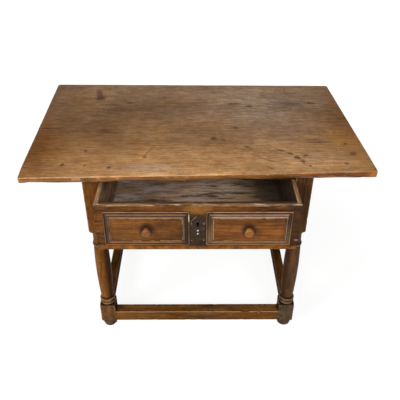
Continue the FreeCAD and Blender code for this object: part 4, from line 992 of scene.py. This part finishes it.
def worn_piece(node, material, fine=False, arris=1.0, cell=1.0, wander=1.0, chip=1.0, shape=None,
               tight=nowhere, worn_radius=0.004):
    """A worn copy of a solid that stands for it.

    Arris, cell, wander and chip are shares of the settings, for fine pieces or for boards. No wear shows
    where tight(place) is true, and shape(bm) changes the mesh before it is worn.
    """
    settings = wear()
    bm = bmesh.new()
    bm.from_mesh(NODES[node].data)
    bmesh.ops.remove_doubles(bm, verts=bm.verts[:], dist=2e-6)
    bmesh.ops.dissolve_limit(bm, angle_limit=math.radians(0.3), verts=bm.verts[:], edges=bm.edges[:])
    round_arrises(bm, arris * (settings.fine_arris if fine else settings.arris), tight)
    cut_across(bm, cell * (settings.fine_cell if fine else settings.board_cell))
    if shape is not None:
        shape(bm)
    seed = settings.seed + sum(ord(letter) for letter in node) % 97
    wear_down(bm, wander * settings.wander, chip * settings.chip, seed, tight)
    keep_inside(bm, *box_of(node))
    store_bends(bm, worn_radius, tight)
    bmesh.ops.recalc_face_normals(bm, faces=bm.faces[:])
    mesh = bpy.data.meshes.new(f"worn_{node}")
    bm.to_mesh(mesh)
    bm.free()
    for polygon in mesh.polygons:
        polygon.use_smooth = True
    mesh.set_sharp_from_angle(angle=math.radians(35))
    mesh.materials.append(material)
    piece = bpy.data.objects.new(f"worn_{node}", mesh)
    bpy.context.scene.collection.objects.link(piece)
    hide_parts(node)
    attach(piece, NODES[node]["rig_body"])


def dress(node, material):
    """Give a solid that is right as it is its finish."""
    NODES[node].data.materials.clear()
    NODES[node].data.materials.append(material)


# Bands of the top whose outline is worn, as distances from the middle of the table
WORN_ENDS, WORN_REAR, WORN_FRONT = (0.45, 0.60), (0.33, 0.42), (0.270, 0.300)


def make_outline_uneven(bm):
    """Draw the top's ends and rear edge in, slope its front edge and hollow the lower arris there."""
    settings = wear()
    for vert in bm.verts:
        x, y, z = vert.co
        end = smooth_step(abs(x), *WORN_ENDS)
        inwards = 0.5 + 0.5 * noise.noise(Vector((x, y * 11, 1.3)))
        vert.co.x -= math.copysign(settings.outline_wander, x) * end * inwards
        rear = smooth_step(y, *WORN_REAR)
        vert.co.y -= settings.outline_wander * rear * (0.5 + 0.5 * noise.noise(Vector((x * 7, 5.2, 0.7))))
        if z > TOP_FACE - 0.010:
            vert.co.z -= settings.front_slope * smooth_step(-y, *WORN_FRONT)
        if z < TOP_FACE - 0.018 and y < -0.2:
            hollow = smooth_step(noise.noise(Vector((x * 7, 3.1, 0.4))), -0.1, 0.6)
            vert.co.z += settings.edge_hollow * hollow


# Operators, one for each group of like pieces and one for the stage

class TavernTableStep:
    """What the operators share."""
    bl_options = {"REGISTER", "UNDO"}


class TAVERN_TABLE_OT_top(TavernTableStep, bpy.types.Operator):
    """Make the worn top boards with their pegs"""
    bl_idname = "tavern_table.top"
    bl_label = "Top boards"

    def execute(self, context):
        material = top_finish()
        for end in ("front", "rear"):
            worn_piece(f"top_board_{end}", material, wander=1.2, shape=make_outline_uneven,
                       tight=at_top_joint, worn_radius=0.003)
        dress("top_tongue", material)
        dress("top_pegs", peg_finish("top_peg_wood", shaded(wood().top_brown, 0.7)))
        return {"FINISHED"}


class TAVERN_TABLE_OT_legs(TavernTableStep, bpy.types.Operator):
    """Make the four worn turned legs"""
    bl_idname = "tavern_table.legs"
    bl_label = "Turned legs"

    def execute(self, context):
        materials = {
            "left": frame_finish("leg_wood_left", "z", grey=0.0, light=1.6, bare=0.7, inner_shade=1.0,
                                 contrast=0.4, scuff=1.0, turned=True),
            "right": frame_finish("leg_wood_right", "z", grey=0.4, light=0.85, bare=0.5, inner_shade=0.7,
                                  contrast=0.5, scuff=0.95, turned=True),
        }
        for end in ("front", "rear"):
            for side in SIDES:
                worn_piece(f"leg_{end}_{side}", materials[side], arris=1.4, cell=0.6, tight=on_smooth_leg,
                           worn_radius=0.007)
        return {"FINISHED"}


class TAVERN_TABLE_OT_stretchers(TavernTableStep, bpy.types.Operator):
    """Make the worn stretchers and their pegs"""
    bl_idname = "tavern_table.stretchers"
    bl_label = "Stretchers"

    def execute(self, context):
        along_x = frame_finish("stretcher_wood_x", "x", light=1.7, bare=1.1, contrast=0.7)
        along_y = frame_finish("stretcher_wood_y", "y", grey=0.0, light=0.9, bare=0.25, scuff=0.0)
        for name, material in (("front", along_x), ("rear", along_x), ("left", along_y), ("right", along_y)):
            worn_piece(f"stretcher_{name}", material, cell=0.6)
        dress("stretcher_pegs", peg_finish("stretcher_peg_wood", shaded(wood().frame_brown, 0.7)))
        return {"FINISHED"}


class TAVERN_TABLE_OT_upper_frame(TavernTableStep, bpy.types.Operator):
    """Make the aprons and the rails above and below the drawer"""
    bl_idname = "tavern_table.upper_frame"
    bl_label = "Aprons and rails"

    def execute(self, context):
        along_x = frame_finish("rail_wood_x", "x")
        along_y = frame_finish("rail_wood_y", "y")
        for name, material in (("left", along_y), ("right", along_y), ("rear", along_x)):
            worn_piece(f"apron_{name}", material)
        for name in ("front_top_rail", "front_lower_rail"):
            worn_piece(name, along_x, cell=0.5, chip=0.5)
        dress("upper_frame_pegs", peg_finish("frame_peg_wood", shaded(wood().frame_brown, 0.7)))
        return {"FINISHED"}


class TAVERN_TABLE_OT_runners(TavernTableStep, bpy.types.Operator):
    """Make the runners, guides and kickers that carry the drawer"""
    bl_idname = "tavern_table.runners"
    bl_label = "Drawer runners"

    def execute(self, context):
        material = runner_finish()
        for side in SIDES:
            for kind in ("runner", "guide", "kicker"):
                worn_piece(f"drawer_{kind}_{side}", material, cell=2.0, wander=0.4)
        return {"FINISHED"}


class TAVERN_TABLE_OT_drawer_box(TavernTableStep, bpy.types.Operator):
    """Make the drawer's sides, back and bottom boards"""
    bl_idname = "tavern_table.drawer_box"
    bl_label = "Drawer box"

    def execute(self, context):
        side_wood = drawer_box_finish("drawer_side_wood", "y")
        floor_wood = drawer_floor_finish()
        for side in SIDES:
            worn_piece(f"drawer_side_{side}", side_wood)
        worn_piece("drawer_back", drawer_box_finish("drawer_back_wood", "x"))
        for name in ("front", "middle", "rear"):
            worn_piece(f"drawer_bottom_{name}", floor_wood)
        return {"FINISHED"}


class TAVERN_TABLE_OT_drawer_front(TavernTableStep, bpy.types.Operator):
    """Make the drawer front with its raised fields and mitred mouldings"""
    bl_idname = "tavern_table.drawer_front"
    bl_label = "Drawer front"

    def execute(self, context):
        worn_piece("drawer_front", drawer_front_finish(), arris=0.8, cell=0.75, wander=0.6, chip=0.4)
        field = field_finish()
        strips = {axis: moulding_finish(axis) for axis in "xz"}
        for side in SIDES:
            worn_piece(f"panel_field_{side}", field, fine=True, wander=0.6, chip=0.4)
            for strip in MOULDING_STRIPS:
                axis = "z" if strip.endswith("end") else "x"
                worn_piece(f"moulding_{side}_{strip}", strips[axis], fine=True, wander=0.5, chip=0.3,
                           worn_radius=0.003)
        return {"FINISHED"}


class TAVERN_TABLE_OT_knobs(TavernTableStep, bpy.types.Operator):
    """Make the two turned knobs"""
    bl_idname = "tavern_table.knobs"
    bl_label = "Knobs"

    def execute(self, context):
        material = knob_finish()
        for side in SIDES:
            worn_piece(f"knob_{side}", material, fine=True, wander=0.6, chip=0.3)
        return {"FINISHED"}


class TAVERN_TABLE_OT_ironwork(TavernTableStep, bpy.types.Operator):
    """Make the escutcheon and finish the lock and the nails"""
    bl_idname = "tavern_table.ironwork"
    bl_label = "Ironwork"

    def execute(self, context):
        iron = iron_finish("forged_iron")
        for node, material, wander in (("escutcheon_plate", iron, 0.5),
                                       ("escutcheon_nails", iron_finish("nail_iron", nails=True), 0.3)):
            worn_piece(node, material, fine=True, arris=0.5, cell=0.5, wander=wander, chip=0.0)
        dress("lock_plate", iron_finish("rusty_iron", rusty=1.0))
        for node in ("lock_cap", "lock_spring", "lock_nails", "lock_bolt", "drawer_side_nails",
                     "drawer_bottom_nails"):
            dress(node, iron)
        return {"FINISHED"}


# For each lamp: its name, place, size, the setting of its power and its colour
WARM, COOL = (1.0, 0.98, 0.95), (0.96, 0.98, 1.0)
LAMP_AIM = (0, 0, 0.6)
LAMPS = (
    ("left", (-2.3, -2.2, 2.05), (1.1, 1.1), "left_power", WARM),
    ("right", (1.0, -3.0, 2.5), (1.0, 1.0), "right_power", WARM),
    ("top", (-0.4, -0.5, 3.4), (2.0, 1.6), "top_power", COOL),
    ("rear left", (-2.5, 2.5, 1.2), (1.2, 1.2), "rear_power", WARM),
    ("rear right", (2.5, 2.5, 1.2), (1.2, 1.2), "rear_power", WARM),
)
FLOOR_REACH = 30.0


def add_lamp(name, place, size, power, tint):
    lamp = bpy.data.lights.new(name, "AREA")
    lamp.shape = "RECTANGLE"
    lamp.size, lamp.size_y = size
    lamp.energy = power
    lamp.color = tint
    holder = bpy.data.objects.new(name, lamp)
    holder.location = place
    holder.rotation_euler = (Vector(LAMP_AIM) - Vector(place)).to_track_quat("-Z", "Y").to_euler()
    holder.visible_camera = False
    bpy.context.scene.collection.objects.link(holder)


def camera_ray(tree):
    """1 for rays from the camera, 0 for the light that falls on things."""
    return tree.add("ShaderNodeLightPath").outputs["Is Camera Ray"]


def floor_finish(colour):
    """Pale floor that the camera sees as white with a faint shadow."""
    material = bpy.data.materials.new("pale_floor")
    material.use_nodes = True
    material.node_tree.nodes.clear()
    tree = Wiring(material.node_tree)
    lit, faint = tree.add("ShaderNodeBsdfDiffuse"), tree.add("ShaderNodeBsdfDiffuse")
    lit.inputs["Color"].default_value = (*colour, 1)
    faint.inputs["Color"].default_value = (0.18, 0.18, 0.18, 1)
    away = tree.vector_maths("LENGTH", tree.add("ShaderNodeTexCoord").outputs["Object"])
    glow = tree.add("ShaderNodeEmission")
    tree.put(glow.inputs["Strength"], tree.ease(away, 0.8, 3.0, 0.88, 1.0))
    seen = tree.add("ShaderNodeAddShader")
    tree.put(seen.inputs[0], faint.outputs[0])
    tree.put(seen.inputs[1], glow.outputs[0])
    mix = tree.add("ShaderNodeMixShader")
    for socket, value in zip(mix.inputs, (camera_ray(tree), lit.outputs[0], seen.outputs[0])):
        tree.put(socket, value)
    tree.put(tree.add("ShaderNodeOutputMaterial").inputs[0], mix.outputs[0])
    return material


class TAVERN_TABLE_OT_stage(TavernTableStep, bpy.types.Operator):
    """Set the floor, the lamps, the white surroundings and the camera"""
    bl_idname = "tavern_table.stage"
    bl_label = "Stage"

    def execute(self, context):
        scene, stage = context.scene, context.scene.tavern_table_stage
        scene.view_settings.view_transform = "Standard"
        self.lay_floor(scene, stage.floor_colour)
        for name, place, size, power, tint in LAMPS:
            add_lamp(name, place, size, getattr(stage, power), tint)
        self.set_world(scene, stage.fill)
        self.set_camera(scene, stage)
        return {"FINISHED"}

    def lay_floor(self, scene, colour):
        mesh = bpy.data.meshes.new("floor")
        corners = [(FLOOR_REACH * x, FLOOR_REACH * y, 0) for x, y in ((-1, -1), (1, -1), (1, 1), (-1, 1))]
        mesh.from_pydata(corners, [], [(0, 1, 2, 3)])
        mesh.materials.append(floor_finish(colour))
        floor = bpy.data.objects.new("floor", mesh)
        scene.collection.objects.link(floor)

    def set_world(self, scene, fill):
        world = bpy.data.worlds.new("studio")
        scene.world = world
        world.use_nodes = True
        tree = Wiring(world.node_tree)
        background = world.node_tree.nodes["Background"]
        background.inputs["Color"].default_value = (1, 1, 1, 1)
        tree.put(background.inputs["Strength"], tree.largest(camera_ray(tree), fill))

    def set_camera(self, scene, stage):
        camera = bpy.data.cameras.new("camera")
        camera.lens = stage.lens
        camera.sensor_width = 36
        holder = bpy.data.objects.new("camera", camera)
        pitch, yaw, roll = stage.camera_turn
        turn = Matrix.Rotation(yaw, 4, "Z") @ Matrix.Rotation(math.pi / 2 - pitch, 4, "X")
        turn = turn @ Matrix.Rotation(roll, 4, "Z")
        holder.matrix_world = Matrix.Translation(stage.camera_place) @ turn
        scene.collection.objects.link(holder)
        scene.camera = holder


OPERATORS = (
    TAVERN_TABLE_OT_top,
    TAVERN_TABLE_OT_legs,
    TAVERN_TABLE_OT_stretchers,
    TAVERN_TABLE_OT_upper_frame,
    TAVERN_TABLE_OT_runners,
    TAVERN_TABLE_OT_drawer_box,
    TAVERN_TABLE_OT_drawer_front,
    TAVERN_TABLE_OT_knobs,
    TAVERN_TABLE_OT_ironwork,
    TAVERN_TABLE_OT_stage,
)
SETTINGS = {
    "tavern_table_wood": TavernTableWood,
    "tavern_table_wear": TavernTableWear,
    "tavern_table_stage": TavernTableStage,
}


class TAVERN_TABLE_PT_panel(bpy.types.Panel):
    """Lists the pieces of the table and their settings"""
    bl_idname = "TAVERN_TABLE_PT_panel"
    bl_label = "Tavern table"
    bl_space_type = "VIEW_3D"
    bl_region_type = "UI"
    bl_category = "Tavern table"

    def draw(self, context):
        for operator in OPERATORS:
            self.layout.operator(operator.bl_idname)
        for name, cls in SETTINGS.items():
            box = self.layout.box()
            for setting in cls.__annotations__:
                box.prop(getattr(context.scene, name), setting)


def register():
    for cls in (*SETTINGS.values(), *OPERATORS, TAVERN_TABLE_PT_panel):
        bpy.utils.register_class(cls)
    for name, cls in SETTINGS.items():
        setattr(bpy.types.Scene, name, PointerProperty(type=cls))


def unregister():
    for name in SETTINGS:
        delattr(bpy.types.Scene, name)
    for cls in (TAVERN_TABLE_PT_panel, *reversed(OPERATORS), *SETTINGS.values()):
        bpy.utils.unregister_class(cls)


def main():
    register()
    make_groups()
    for operator in OPERATORS:
        group, name = operator.bl_idname.split(".")
        getattr(getattr(bpy.ops, group), name)()


if __name__ == "__main__":
    main()
